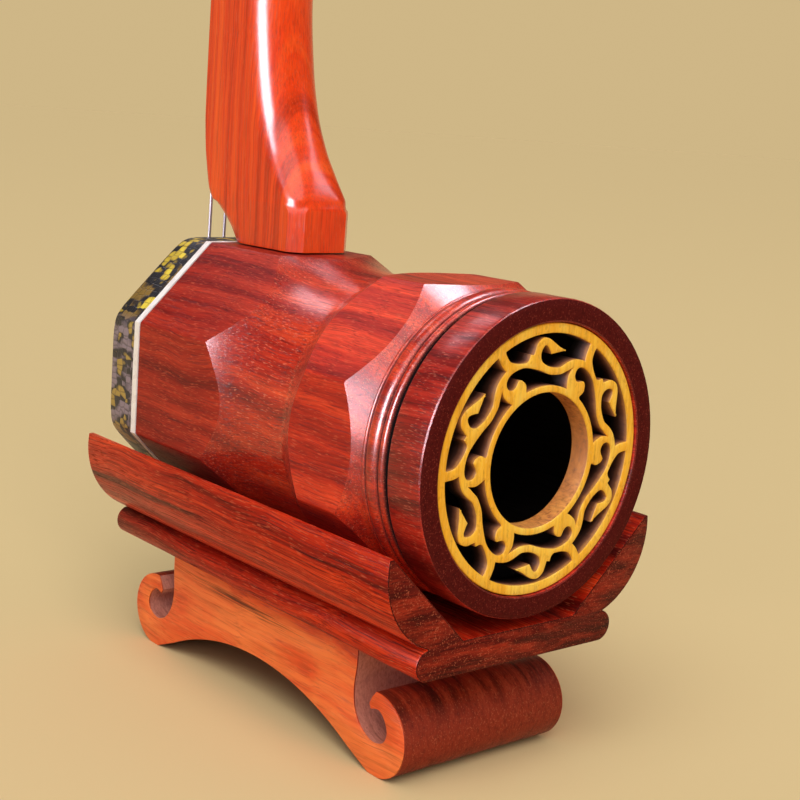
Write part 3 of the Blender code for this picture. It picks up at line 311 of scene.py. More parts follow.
def polished_wood(name, colours, end_colour, layers, fibres, pores, grain, roughness, shine, coat,
                  pale_pore, pale_share=0.5, streaks=1.0, lean=0.0, wander=5.0, tone_and_painted_shade_before=None):
    """Hard wood under clear lacquer. Sizes in mm along X, Y and Z: growth layers, fibres, pores.

    The growth layers lean over by some degrees round the grain, and wander by some mm. The wood may
    be darker and more purple at its first end, partly its own tone and partly painted shade with a
    painted purple sheen, and clear up between two places along the grain.
    """
    made, tree = fresh(name)
    spot = add(tree, "TexCoord")
    drift = add(tree, "TexNoise", {"Vector": spot.outputs["Object"], "Scale": 1 / (42 * MM), "Detail": 2.0})
    drift = add(tree, "VectorMath", {0: drift.outputs["Color"], 1: (0.5, 0.5, 0.5)}, operation="SUBTRACT")
    drift = add(tree, "VectorMath", {0: drift, "Scale": wander * MM}, operation="SCALE")
    bent = add(tree, "VectorMath", {0: spot.outputs["Object"], 1: drift}, operation="ADD")
    turned = [math.radians(lean) * (axis == grain) for axis in "XYZ"]

    def figure(sizes, detail, distortion=0.0):
        grid = add(tree, "Mapping", {"Vector": bent, "Rotation": turned,
                                     "Scale": [size * MM for size in sizes]}, vector_type="TEXTURE")
        return add(tree, "TexNoise", {"Vector": grid, "Scale": 1.0, "Detail": detail,
                                      "Roughness": 0.6, "Distortion": distortion})

    def times(colour, shade, share=1.0):
        return add(tree, "Mix", {0: share, 6: colour, 7: shade}, data_type="RGBA",
                   blend_type="MULTIPLY").outputs[2]

    dark, middle, bright = (linear(colour) for colour in colours)
    layer = figure(layers, 4.0, 0.5)
    colour = add(tree, "ValToRGB", {0: layer}, stops=((0.34, dark), (0.48, middle), (0.64, bright))).outputs[0]
    fibre = figure(fibres, 4.0)
    streak = add(tree, "ValToRGB", {0: fibre}, stops=(
        (0.34, (0.34, 0.24, 0.24, 1)), (0.45, (0.82, 0.76, 0.74, 1)), (0.54, (1, 1, 1, 1)),
        (0.70, (1.3, 1.5, 1.5, 1)))).outputs[0]
    colour = times(colour, streak, streaks)
    # Open pores: dark lines the length of a fibre, and shorter ones where the light catches them
    line = figure([size * stretch for size, stretch in zip(pores, [
        5.0 if axis == grain else 1.25 for axis in "XYZ"])], 2.0)
    line = add(tree, "MapRange", {"Value": line, "From Min": 0.57, "From Max": 0.66})
    colour = times(colour, add(tree, "Mix", {0: line, 6: (1, 1, 1, 1), 7: (0.5, 0.38, 0.36, 1)},
                               data_type="RGBA").outputs[2], min(1.0, streaks * 1.2))
    normal = add(tree, "SeparateXYZ", {0: spot.outputs["Normal"]}).outputs["XYZ".index(grain)]
    across = add(tree, "Math", {0: normal}, operation="ABSOLUTE")
    end = add(tree, "MapRange", {"Value": across, "From Min": 0.6, "From Max": 0.97})
    colour = add(tree, "Mix", {0: end, 6: colour, 7: times(linear(end_colour), streak, streaks)},
                 data_type="RGBA").outputs[2]
    # Painted shade with a painted purple sheen, over some of the wood's own darker tone, towards its first end
    if tone_and_painted_shade_before:
        place = add(tree, "SeparateXYZ", {0: spot.outputs["Object"]}).outputs["XYZ".index(grain)]
        place = add(tree, "MapRange", {"Value": place, "From Min": tone_and_painted_shade_before[0] * MM,
                                       "From Max": tone_and_painted_shade_before[1] * MM})
        colour = times(colour, add(tree, "Mix", {0: place, 6: (0.6, 0.54, 0.68, 1), 7: (1, 1, 1, 1)},
                                   data_type="RGBA").outputs[2])
    pore = add(tree, "MapRange", {"Value": figure(pores, 0.0), "From Min": 0.66, "From Max": 0.74,
                                  "To Max": pale_share})
    colour = add(tree, "Mix", {0: pore, 6: colour, 7: linear(pale_pore)}, data_type="RGBA").outputs[2]
    worn = add(tree, "MapRange", {"Value": fibre, "To Min": roughness + 0.07, "To Max": roughness - 0.05})
    worn = add(tree, "Math", {0: end, 1: 0.2, 2: worn}, operation="MULTIPLY_ADD")
    worn = add(tree, "Math", {0: line, 1: 0.2, 2: worn}, operation="MULTIPLY_ADD")
    relief = add(tree, "Math", {0: line, 1: -1.0, 2: fibre}, operation="MULTIPLY_ADD")
    bump = add(tree, "Bump", {"Strength": 0.45 * streaks, "Distance": 0.08 * MM, "Height": relief})
    shader = add(tree, "BsdfPrincipled", {
        "Base Color": colour, "Roughness": worn, "IOR": 1.5, "Specular IOR Level": shine, "Normal": bump,
        "Coat Weight": coat, "Coat Roughness": 0.18, "Coat IOR": 1.5})
    add(tree, "OutputMaterial", {"Surface": shader})
    return made


# Padauk, planed and rubbed: deep red faces with fine brown streaks and short pale pores
# Towards the skin the wood is darker and more purple: partly its own tone, partly painted shade and a painted
# purple sheen
planed_rosewood = polished_wood(
    "planed_rosewood", ("#9C1C0E", "#C82E16", "#EA4622"), "#4A0C08", layers=(5, 190, 26),
    fibres=(0.6, 24, 0.6), pores=(0.3, 3.2, 0.3), grain="Y", roughness=0.34, shine=0.16, coat=0.0,
    pale_pore="#F07450", pale_share=0.3, streaks=0.6, lean=38, wander=6.5,
    tone_and_painted_shade_before=(COVE_Y - 44, COVE_Y - 4))
# The same wood where the lathe cut across its fibres: glossier, with shorter figure
turned_rosewood = polished_wood(
    "turned_rosewood", ("#9C1C0E", "#C82E16", "#EA4C24"), "#4A0C08", layers=(5, 190, 26),
    fibres=(0.6, 16, 0.6), pores=(0.3, 2.4, 0.3), grain="Y", roughness=0.28, shine=0.3, coat=0.3,
    pale_pore="#FF8E6C", pale_share=0.4, streaks=0.75, lean=38, wander=6.5,
    tone_and_painted_shade_before=(COVE_Y - 44, COVE_Y - 4))
# Inside, painted nearly black as painted shade, so that no light comes back through the window
bore_painted_shade = polished_wood(
    "bore_painted_shade", ("#050303", "#0A0504", "#100706"), "#070404", layers=(9, 120, 9),
    fibres=(1.5, 34, 1.5), pores=(0.45, 3.6, 0.45), grain="Y", roughness=0.75, shine=0.2, coat=0.0,
    pale_pore="#140A08", pale_share=0.2)

rings = [around(BOX_FRONT_Y, 45.8, 30), around(BOX_FRONT_Y + 0.8, 46.6, 36),
         around(SHOULDER_Y, 46.6, 60), around(SHOULDER_Y, APOTHEM - 0.25), around(SHOULDER_Y + 0.3, APOTHEM)]
finish = [2, 2, 2, 0, 0]
fall = [1, 0.96, 0.9, 0.84, 0.77, 0.7, 0.62, 0.54, 0.45, 0.36, 0.26, 0.14, 0]
rise = [0.08, 0.16, 0.26, 0.38, 0.5, 0.62, 0.74, 0.86, 1]
crisp = [len(rings), len(rings) + len(fall) + len(rise) - 1]
rings += cove(-40.0, 3.0, fall) + cove(14.0, 1.44, rise)
finish += [1] * (len(fall) + len(rise) - 1) + [0]
crisp.append(len(rings))
rings += cone((0, 0.25, 0.5, 0.75, 1))
finish += [1] * 5
bead_y = CONE_END_Y
for lead, width, root, crest in ((0.8, 1.9, 46.0, 47.3), (0.1, 5.3, 46.4, 48.0), (0.1, 2.8, 46.3, 47.5)):
    bead_y += lead
    crisp += [len(rings), len(rings) + 12]
    for step in range(13):
        turn = math.pi * step / 12
        rings.append(around(bead_y + width * (1 - math.cos(turn)) / 2,
                            root + (crest - root) * math.sin(turn), turned=True))
        finish.append(1)
    bead_y += width
finish[-1] = 2
rings += [around(GROOVE_Y, 44.0, turned=True), around(RIM_Y + 4.0, 44.0, turned=True),
          around(RIM_Y + 4.0, BORE, turned=True), around(BOX_FRONT_Y, BORE, turned=True)]
finish += [2, 2, 2, 2]
sound_box = piece("sound_box_wood", loft(rings, closed=True, crisp=crisp, finish=finish),
                  [planed_rosewood, turned_rosewood, bore_painted_shade], "rosewood", ["sound_box"])

# Rear ring: turned from the same wood with its fibres lengthwise, pushed on the box's spigot and
# let in from behind for the window. Its end grain is dark, with pale dots where the pores end.
ring_rosewood = polished_wood(
    "ring_rosewood", ("#701410", "#A2221A", "#CC3826"), "#480D0A", layers=(5, 110, 26),
    fibres=(0.6, 20, 0.6), pores=(0.3, 2.0, 0.3), grain="Y", roughness=0.28, shine=0.2, coat=0.12,
    pale_pore="#F48A6E", pale_share=0.3, streaks=0.75, lean=38)
# Where the saw crossed the fibres: end grain, oiled dark and left nearly matt, with pale pore ends
end_grain = polished_wood(
    "rosewood_end_grain", ("#480E0A", "#54110C", "#641812"), "#520F0B", layers=(5, 110, 26),
    fibres=(0.8, 20, 0.8), pores=(0.45, 3.0, 0.45), grain="Y", roughness=0.45, shine=0.06, coat=0.0,
    pale_pore="#983E30", pale_share=0.35, streaks=0.5, lean=38)
REAR_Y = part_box("rear_ring")[1].y / MM
profile = [(RIM_Y, 44.3), (RIM_Y, 47.4), (RIM_Y + 0.18, 47.82), (RIM_Y + 0.6, 48.0),
           (REAR_Y - 1.0, 48.0), (REAR_Y - 0.55, 47.93), (REAR_Y - 0.2, 47.7), (REAR_Y, 47.2),
           (REAR_Y, 44.5), (REAR_Y, 41.6), (REAR_Y - 0.25, 41.2), (REAR_Y - 0.6, 41.1), (REAR_Y - 8.0, 41.1),
           (REAR_Y - 8.0, 38.3), (REAR_Y - 9.5, 38.3), (RIM_Y + 4.3, 38.3), (RIM_Y + 4.3, 44.3)]
piece("rear_ring_wood",
      loft([around(y, r, turned=True) for y, r in profile], closed=True,
           finish=[0] * 6 + [2] * 3 + [0] * 3 + [1] * 5), [ring_rosewood, bore_painted_shade, end_grain],
      "rosewood", ["rear_ring"])

# Window: a boxwood disc sawn through by hand with a running vine, six times round a plain hole,
# lacquered yellow on its face. Degrees round the axis and radius in mm, as runs between corners.
HOLE, HUB, BAND = 20.4, 22.45, 37.8
OUTER_RUNS = (
    ((59.2, 37.8), (59.4, 36.8), (58.5, 34.4), (56, 32.9), (53, 31.9), (50, 31.3), (48, 31.1),
     (46.2, 31.5), (44.6, 32.9)),
    ((44.6, 32.9), (42.4, 32.4)),
    ((42.4, 32.4), (41, 33.9), (39.6, 35.3), (37, 36.4), (34.5, 36.7), (31.5, 36.2), (28, 35.0),
     (24, 33.8), (19.2, 33.0)),
    ((19.2, 33.0), (24, 32.2), (29.6, 31.6)),
    ((29.6, 31.6), (31, 32.8), (33.2, 34.2), (35.3, 34.1), (37.4, 32.1), (36.6, 29.9), (32, 28.3),
     (28, 27.8), (25, 27.7), (21.5, 27.9), (19.3, 28.4), (17, 29.3), (14, 30.4), (11, 31.3),
     (7, 32.0), (2.8, 32.5)),
    ((2.8, 32.5), (3.8, 34.6), (4.0, 37.8)),
)
INNER_RUNS = (
    ((10, 28.9), (12, 28.0), (15, 27.0), (18, 26.1), (21, 25.7), (25, 25.5), (29, 25.6),
     (33, 26.2), (37, 27.0), (41, 27.8), (45, 28.7), (50, 29.8), (55, 30.4), (60, 30.6),
     (63, 30.3), (65.3, 29.5), (66.2, 28.4), (65.6, 26.9), (62.8, 26.0), (60, 26.2),
     (57.8, 26.9), (56.2, 27.3), (54, 26.8), (52.2, 25.6), (51.6, 24.5), (52.8, 22.8)),
    ((52.8, 22.8), (51.6, HUB)),
    ((8.6, HUB), (10.2, 23.8), (11.4, 26.0), (11.0, 27.4), (10, 28.9)),
)
WINDOW_Y = REAR_Y - 0.8
WINDOW_BACK_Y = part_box("sound_window")[0].y / MM


def smoothed(points, steps):
    """Curve through points, sampled between each pair, without its last point."""
    out, last = [], len(points) - 1
    for i in range(last):
        four = (points[max(i - 1, 0)], points[i], points[i + 1], points[min(i + 2, last)])
        for k in range(steps if last > 1 else 1):
            t = k / steps
            weights = (-t + 2 * t * t - t ** 3, 2 - 5 * t * t + 3 * t ** 3,
                       t + 4 * t * t - 3 * t ** 3, t ** 3 - t * t)
            out.append(tuple(sum(w * p[axis] for w, p in zip(weights, four)) / 2 for axis in (0, 1)))
    return out


def band_run(start, stop, radius):
    """Part of a circle, a point about every two degrees, without its last point."""
    steps = max(1, round(abs(stop - start) / 2))
    return [(start + (stop - start) * i / steps, radius) for i in range(steps)]


def flat(points):
    """Degrees and radius as places across the window, read from behind."""
    return [(-r * math.cos(math.radians(a)), AXIS + r * math.sin(math.radians(a))) for a, r in points]


def eased(outline, distance):
    """The outline moved sideways, to the left of its direction, by a small distance."""
    out = []
    for before, here, after in zip(outline[-1:] + outline[:-1], outline, outline[1:] + outline[:1]):
        one = Vector((here[0] - before[0], here[1] - before[1])).normalized()
        two = Vector((after[0] - here[0], after[1] - here[1])).normalized()
        left = Vector((-(one.y + two.y), one.x + two.x))
        left = left.normalized() if left.length > 1e-6 else Vector((-one.y, one.x))
        reach = distance / max(0.5, left.dot(Vector((-one.y, one.x))))
        out.append((here[0] + left.x * reach, here[1] + left.y * reach))
    return out


def turns_left(outline):
    return sum(a[0] * b[1] - b[0] * a[1] for a, b in zip(outline, outline[1:] + outline[:1])) > 0


outlines = [flat([(2 * i, 40.8) for i in range(180)]), flat([(3 * i, HOLE) for i in range(120)])]
for repeat in range(6):
    outer = [point for run in OUTER_RUNS for point in smoothed(run, 4)] + band_run(4.0, 59.2, BAND)
    inner = [point for run in INNER_RUNS[:2] for point in smoothed(run, 4)] + band_run(51.6, 8.6, HUB)
    inner += smoothed(INNER_RUNS[2], 4)
    outlines += [flat([(a + 60 * repeat, r) for a, r in run]) for run in (outer, inner)]
mesh = bmesh.new()
face_edges, back_edges = [], []
for number, outline in enumerate(outlines):
    # The wood lies inside the first outline and outside all the others
    into = 1 if turns_left(outline) == (number == 0) else -1
    rows = []
    for set_in, depth in ((0.42, 0), (0.12, 0.12), (0, 0.42), (0, None)):
        line = eased(outline, into * set_in) if set_in else outline
        y = WINDOW_BACK_Y if depth is None else WINDOW_Y - depth
        rows.append([mesh.verts.new((u, y, v)) for u, v in line])
    # Material 1 is for the sawn walls, material 2 for the sanded wall of the plain hole
    for low, high, look in zip(rows, rows[1:], (0, 0, 2 if number == 1 else 1)):
        for i in range(len(low)):
            mesh.faces.new((low[i - 1], low[i], high[i], high[i - 1])).material_index = look
    face_edges += [mesh.edges.get((rows[0][i - 1], rows[0][i])) for i in range(len(rows[0]))]
    back_edges += [mesh.edges.get((rows[-1][i - 1], rows[-1][i])) for i in range(len(rows[-1]))]
bmesh.ops.triangle_fill(mesh, edges=face_edges, use_beauty=True)
back = bmesh.ops.triangle_fill(mesh, edges=back_edges, use_beauty=True)
# The back takes the sawn walls' material, nearly black there with painted shade
for item in back["geom"]:
    if isinstance(item, bmesh.types.BMFace):
        item.material_index = 1
lacquered_boxwood = polished_wood(
    "lacquered_boxwood", ("#F8B026", "#FFC038", "#FFD052"), "#FFC038", layers=(9, 60, 60),
    fibres=(0.8, 12, 12), pores=(0.3, 2, 2), grain="X", roughness=0.4, shine=0.25, coat=0.0,
    pale_pore="#FFE08A", pale_share=0.2, streaks=0.25)
sanded_boxwood = polished_wood(
    "sanded_boxwood", ("#B86C3C", "#E09048", "#F0A450"), "#E09048", layers=(9, 12, 14),
    fibres=(0.8, 3, 12), pores=(0.4, 1.5, 3), grain="X", roughness=0.45, shine=0.3, coat=0.0,
    pale_pore="#8A5A50", pale_share=0.2, streaks=0.5)
# The saw cuts are only sealed and brown near the face; further in, painted shade darkens them nearly to black
saw_cut_tone_and_painted_shade, tree = fresh("saw_cut_tone_and_painted_shade")
spot = add(tree, "TexCoord")
grid = add(tree, "Mapping", {"Vector": spot.outputs["Object"], "Scale": (1 / (2 * MM), 1 / (9 * MM), 1 / (2 * MM))})
saw = add(tree, "TexNoise", {"Vector": grid, "Scale": 1.0, "Detail": 3.0})
# Painted shade: the deeper into the window a wall lies, the darker it is
depth = add(tree, "SeparateXYZ", {0: spot.outputs["Object"]}).outputs["Y"]
depth = add(tree, "MapRange", {"Value": depth, "From Min": (WINDOW_Y - 6.0) * MM, "From Max": WINDOW_Y * MM})
depth = add(tree, "Math", {0: saw, 1: 0.3, 2: depth}, operation="MULTIPLY_ADD")
tone = add(tree, "ValToRGB", {0: depth}, stops=(
    (0.15, linear("#100907")), (0.55, linear("#3C2018")), (0.85, linear("#7C4A34")), (1.0, linear("#B87838"))))
rough = add(tree, "MapRange", {"Value": saw, "To Min": 0.5, "To Max": 0.7})
bump = add(tree, "Bump", {"Strength": 0.4, "Distance": 0.1 * MM, "Height": saw})
shader = add(tree, "BsdfPrincipled", {"Base Color": tone, "Roughness": rough, "IOR": 1.5, "Normal": bump})
add(tree, "OutputMaterial", {"Surface": shader})
piece("window_fretwork", mesh, [lacquered_boxwood, saw_cut_tone_and_painted_shade, sanded_boxwood], "boxwood",
      ["sound_window"], sharp_over=50)

# Skin: python skin glued wet over the front and drawn back along the sides, with its scales.
mesh = loft([around(y, apothem, sharpness) for y, apothem, sharpness in (
    (SKIN_Y, 46.1, 22), (SKIN_Y + 0.08, 46.55, 23), (SKIN_Y + 0.25, 46.95, 24), (SKIN_Y + 0.5, 47.3, 27),
    (SKIN_Y + 0.85, 47.55, 30), (SKIN_Y + 1.3, 47.7, 34), (SKIN_Y + 8, 47.7, 60), (SKIN_Y + 15.3, 47.7, 80),
    (SKIN_Y + 15.3, 46.9, 90), (SKIN_Y + 1.8, 46.9, 45), (SKIN_Y + 0.8, 46.1, 45))],
    finish=[0] * 8 + [1] * 2)
python_skin, tree = fresh("python_skin")
spot = add(tree, "TexCoord")
SCALE = 2.7  # mm, one scale; they lie in slanting rows
grid = add(tree, "Mapping", {"Vector": spot.outputs["Object"], "Rotation": (0, math.radians(45), 0),
                             "Scale": (SCALE * MM, 1.2 * SCALE * MM, SCALE * MM)}, vector_type="TEXTURE")
scale = add(tree, "TexVoronoi", {"Vector": grid, "Scale": 1.0, "Randomness": 0.4}, feature="F1")
seam = add(tree, "TexVoronoi", {"Vector": grid, "Scale": 1.0, "Randomness": 0.4}, feature="DISTANCE_TO_EDGE")
# The broad pattern of the snake runs on over the scales, and each scale shifts it a little
grid = add(tree, "Mix", {0: 0.55, 4: grid, 5: scale.outputs["Position"]}, data_type="VECTOR").outputs[1]
patch = add(tree, "TexNoise", {"Vector": grid, "Scale": 0.34, "Detail": 2.0, "Roughness": 0.5,
                               "Distortion": 0.7})
own = add(tree, "SeparateXYZ", {0: scale.outputs["Color"]}).outputs[0]
tint = add(tree, "Math", {0: own, 1: 0.04, 2: patch}, operation="MULTIPLY_ADD")
tint = add(tree, "Math", {0: scale.outputs["Distance"], 1: -0.05, 2: tint}, operation="MULTIPLY_ADD")
# Its flanks, which lie over the box's sides, are mauve grey; its back is black, yellow and brown
place = add(tree, "SeparateXYZ", {0: spot.outputs["Object"]})
outward = add(tree, "Math", {0: place.outputs[0]}, operation="ABSOLUTE")
outward = add(tree, "Math", {0: patch, 1: 16 * MM, 2: outward}, operation="MULTIPLY_ADD")
flank_share = add(tree, "MapRange", {"Value": outward, "From Min": 44 * MM, "From Max": 51 * MM})
low_share = add(tree, "MapRange", {"Value": place.outputs[2], "From Min": 0.123, "From Max": 0.117})
flank_share = add(tree, "Math", {0: flank_share, 1: low_share}, operation="MULTIPLY")
flank = add(tree, "ValToRGB", {0: tint}, stops=(
    (0.43, linear("#8E7C88")), (0.47, linear("#70606C")), (0.50, linear("#181018")), (0.55, linear("#181018")),
    (0.58, linear("#B09038"))))
back_tone = add(tree, "ValToRGB", {0: tint}, stops=(
    (0.37, linear("#8A6A24")), (0.42, linear("#3A2A14")), (0.45, linear("#06060C")), (0.535, linear("#101016")),
    (0.56, linear("#C0A018")), (0.62, linear("#ECD030"))))
tone = add(tree, "Mix", {0: flank_share, 6: back_tone, 7: flank}, data_type="RGBA")
groove = add(tree, "MapRange", {"Value": seam, "From Min": 0.0, "From Max": 0.10, "To Min": 0.5, "To Max": 1.0})
tone = add(tree, "Mix", {0: 1.0, 6: tone.outputs[2], 7: groove}, data_type="RGBA", blend_type="MULTIPLY")
bump = add(tree, "Bump", {"Strength": 0.6, "Distance": 0.25 * MM, "Height": groove})
sheen = add(tree, "MapRange", {"Value": patch, "To Min": 0.34, "To Max": 0.5})
shader = add(tree, "BsdfPrincipled", {"Base Color": tone.outputs[2], "Roughness": sheen, "IOR": 1.5,
                                      "Normal": bump})
add(tree, "OutputMaterial", {"Surface": shader})
piece("stretched_python_skin", mesh, [python_skin, bore_painted_shade], "python_skin", ["skin_membrane"])

# Neck: one piece of brighter, finer rosewood. The shaft flows into a heel that stands on the box,
# and a tenon goes on through the box and out under it.
HEEL_Z, HEEL_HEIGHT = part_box("sound_box")[1].z / MM + 0.3, 15.4
BOARD_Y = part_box("neck")[0].y / MM
HEEL_FRONT_Y = SKIN_Y + 16.3
HEEL_BACK_Y = HEEL_FRONT_Y + 42.0
HEAD_BACK_Y = BOARD_Y + 36.0
TENON_Y = (HEEL_FRONT_Y + HEEL_BACK_Y) / 2


def section(z, half, front, back, front_round, back_round, straight=0.0, steps=12):
    """Level section with rounded corners; straight turns the rear ones into chamfers."""
    points = []
    for x, y, radius, start, share in (
            (half - front_round, front + front_round, front_round, 270, 0),
            (half - back_round, back - back_round, back_round, 0, straight),
            (-half + back_round, back - back_round, back_round, 90, straight),
            (-half + front_round, front + front_round, front_round, 180, 0)):
        run = [Vector((x + radius * math.cos(math.radians(start + 90 * i / steps)),
                       y + radius * math.sin(math.radians(start + 90 * i / steps)))) for i in range(steps + 1)]
        run = [point.lerp(run[0].lerp(run[-1], i / steps), share) for i, point in enumerate(run)]
        points += [(point.x, point.y, z) for point in run]
    return points


def eased_stations(stations, steps):
    """Stations in between, on curves that never overshoot."""
    rises = [[(high - low) / (two[0] - one[0]) for low, high in zip(one, two)]
             for one, two in zip(stations, stations[1:])]

    def slope(i, k):
        low, high = rises[max(i - 1, 0)][k], rises[min(i, len(rises) - 1)][k]
        return 2 * low * high / (low + high) if low * high > 0 else 0.0

    out = []
    for i in range(len(stations) - 1):
        gap = stations[i + 1][0] - stations[i][0]
        for step in range(steps):
            t = step / steps
            row = [stations[i][0] + gap * t]
            for k in range(1, len(stations[i])):
                a, b = stations[i][k], stations[i + 1][k]
                row.append((2 * t ** 3 - 3 * t * t + 1) * a + (t ** 3 - 2 * t * t + t) * gap * slope(i, k)
                           + (3 * t * t - 2 * t ** 3) * b + (t ** 3 - t * t) * gap * slope(i + 1, k))
            out.append(row)
    return out + [list(stations[-1])]


chin = HEEL_Z + HEEL_HEIGHT - 1.4
heel_stations = [
    (HEEL_Z, 13, HEEL_FRONT_Y, HEEL_BACK_Y, 12.74, 4.2, 1.0),
    (HEEL_Z + 0.34 * HEEL_HEIGHT, 13, HEEL_FRONT_Y - 4.1, HEEL_BACK_Y, 12.48, 4.2, 1.0),
    (HEEL_Z + 0.6 * HEEL_HEIGHT, 13, HEEL_FRONT_Y - 8.1, HEEL_BACK_Y, 11.7, 4.2, 1.0),
    (chin - 1.2, 13, HEEL_FRONT_Y - 11.6, HEEL_BACK_Y, 9.75, 4.2, 1.0),
    (chin, 13, BOARD_Y + 4.0, HEEL_BACK_Y, 6.5, 4.6, 1.0)]
shaft_stations = [
    (chin, 13, BOARD_Y + 4.0, HEEL_BACK_Y, 6.5, 4.6, 1.0),
    (HEEL_Z + HEEL_HEIGHT + 2.5, 13, BOARD_Y + 2.4, HEEL_BACK_Y - 1.2, 4.94, 8.0, 0.0),
    (HEEL_Z + HEEL_HEIGHT + 10, 13, BOARD_Y + 1.2, HEEL_BACK_Y - 5.2, 3.64, 11.05, 0.0),
    (HEEL_Z + HEEL_HEIGHT + 18, 13, BOARD_Y + 0.5, HEEL_BACK_Y - 10.2, 2.34, 12.35, 0.0),
    (HEEL_Z + HEEL_HEIGHT + 30, 13, BOARD_Y, HEEL_BACK_Y - 16.0, 1.56, 12.74, 0.0),
    (HEEL_Z + HEEL_HEIGHT + 46, 13, BOARD_Y, HEEL_BACK_Y - 20.5, 1.3, 12.74, 0.0),
    (HEEL_Z + HEEL_HEIGHT + 70, 13, BOARD_Y, BOARD_Y + 35, 1.3, 12.74, 0.0),
    (716, 11.5, BOARD_Y, BOARD_Y + 25, 1.3, 11.04, 0.0),
    (756, 11.5, BOARD_Y, BOARD_Y + 25, 1.3, 10.35, 0.0),
    (776, 13, BOARD_Y, HEAD_BACK_Y - 4, 1.3, 5.2, 0.0)]
neck_rings = [section(*row) for row in eased_stations(heel_stations, 3)[:-1] + eased_stations(shaft_stations, 6)]
neck_rosewood = polished_wood(
    "neck_rosewood", ("#C4340C", "#EE4210", "#FC5A1C"), "#B8401C", layers=(60, 4.5, 240),
    fibres=(0.7, 0.7, 70), pores=(0.3, 0.3, 5.0), grain="Z", roughness=0.22, shine=0.2, coat=0.35,
    pale_pore="#FF8A50", pale_share=0.15, streaks=0.35)
neck = piece("neck_and_heel", loft(neck_rings, crisp=[12]), [neck_rosewood, bore_painted_shade],
             "neck_rosewood", ["neck"], sharp_over=28)


def tenon(low, high, half, front, back, corner):
    return loft([section(z, half, front, back, corner, corner, steps=4) for z in (low, high)])


carve(neck, tenon(AXIS - APOTHEM - 3.8, HEEL_Z + 2, 8, TENON_Y - 12, TENON_Y + 12, 2), "UNION")
HEAD_MIDDLE_Y = BOARD_Y + 21.0
carve(neck, tenon(774, 790, 5, HEAD_MIDDLE_Y - 5, HEAD_MIDDLE_Y + 5, 1), "UNION")
# The tenon's sides below the heel, inside the box, take the bore's painted shade
for face in neck.data.polygons:
    if max(neck.data.vertices[v].co.z for v in face.vertices) < (HEEL_Z + 0.01) * MM and abs(face.normal.z) < 0.5:
        face.material_index = 1
carve(sound_box, tenon(AXIS - 60, AXIS + 60, 8.3, TENON_Y - 12.3, TENON_Y + 12.3, 2.3))

# Headstock: its slotted cheeks hold the pegs, and its spade-shaped end leans back. It is carved from
# the neck's wood, drilled for the pegs, with a bone cap on its end and a bone nut at its foot.
HEAD_FRONT_Y, PEG_Y = BOARD_Y + 6.0, BOARD_Y + 17.5
HEAD_Z, HEAD_TOP_Z = (corner.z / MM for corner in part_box("headstock"))
SLOT_LOW_Z, SLOT_HIGH_Z, SLOT_HALF, CHEEK = 800.0, 874.0, 7.0, 17.0
lean = HEAD_TOP_Z - SLOT_HIGH_Z
head_stations = [
    (HEAD_Z, 13, HEAD_FRONT_Y, HEAD_BACK_Y - 4, 1.2, 5.2),
    (HEAD_Z + 14, CHEEK - 1.5, HEAD_FRONT_Y, HEAD_BACK_Y, 2, 5),
    (SLOT_LOW_Z, CHEEK, HEAD_FRONT_Y, HEAD_BACK_Y, 3, 5),
    (SLOT_HIGH_Z, CHEEK, HEAD_FRONT_Y, HEAD_BACK_Y, 3, 5),
    (SLOT_HIGH_Z + 0.2 * lean, CHEEK - 2.5, HEAD_FRONT_Y + 2, HEAD_BACK_Y + 1, 5, 6),
    (SLOT_HIGH_Z + 0.42 * lean, CHEEK - 1.5, HEAD_FRONT_Y + 8, HEAD_BACK_Y + 2, 5, 6),
    (SLOT_HIGH_Z + 0.65 * lean, CHEEK + 3, HEAD_FRONT_Y + 18, HEAD_BACK_Y + 6, 5, 5),
    (SLOT_HIGH_Z + 0.85 * lean, CHEEK + 6, HEAD_FRONT_Y + 28, HEAD_BACK_Y + 12, 4.5, 4.5),
    (HEAD_TOP_Z, CHEEK + 6.5, HEAD_FRONT_Y + 35, HEAD_BACK_Y + 17, 4, 4)]
head = piece("carved_headstock", loft([section(*row) for row in eased_stations(head_stations, 6)]),
             [neck_rosewood], "neck_rosewood", ["headstock"], sharp_over=28)


def bow(u, v, radius, start, stop, steps):
    """Points on an arc, both ends included; angles in degrees."""
    turns = [math.radians(start + (stop - start) * i / steps) for i in range(steps + 1)]
    return [(u + radius * math.cos(a), v + radius * math.sin(a)) for a in turns]


def peg_radius(x):
    """Taper of a peg, with x counted towards its handle from the middle of the head."""
    return 5.4 - 1.1 * (CHEEK - x) / (2 * CHEEK)


def wheel(x, z, radius, flute=0.0, count=96):
    """Ring round a peg; its flutes are hollow between eight crisp ridges."""
    ring = []
    for i in range(count):
        a = 2 * math.pi * i / count
        off = (8 * i / count) % 1 * 2 - 1
        reach = radius - flute * (1 - off * off)
        ring.append((x, PEG_Y + reach * math.cos(a), z + reach * math.sin(a)))
    return ring


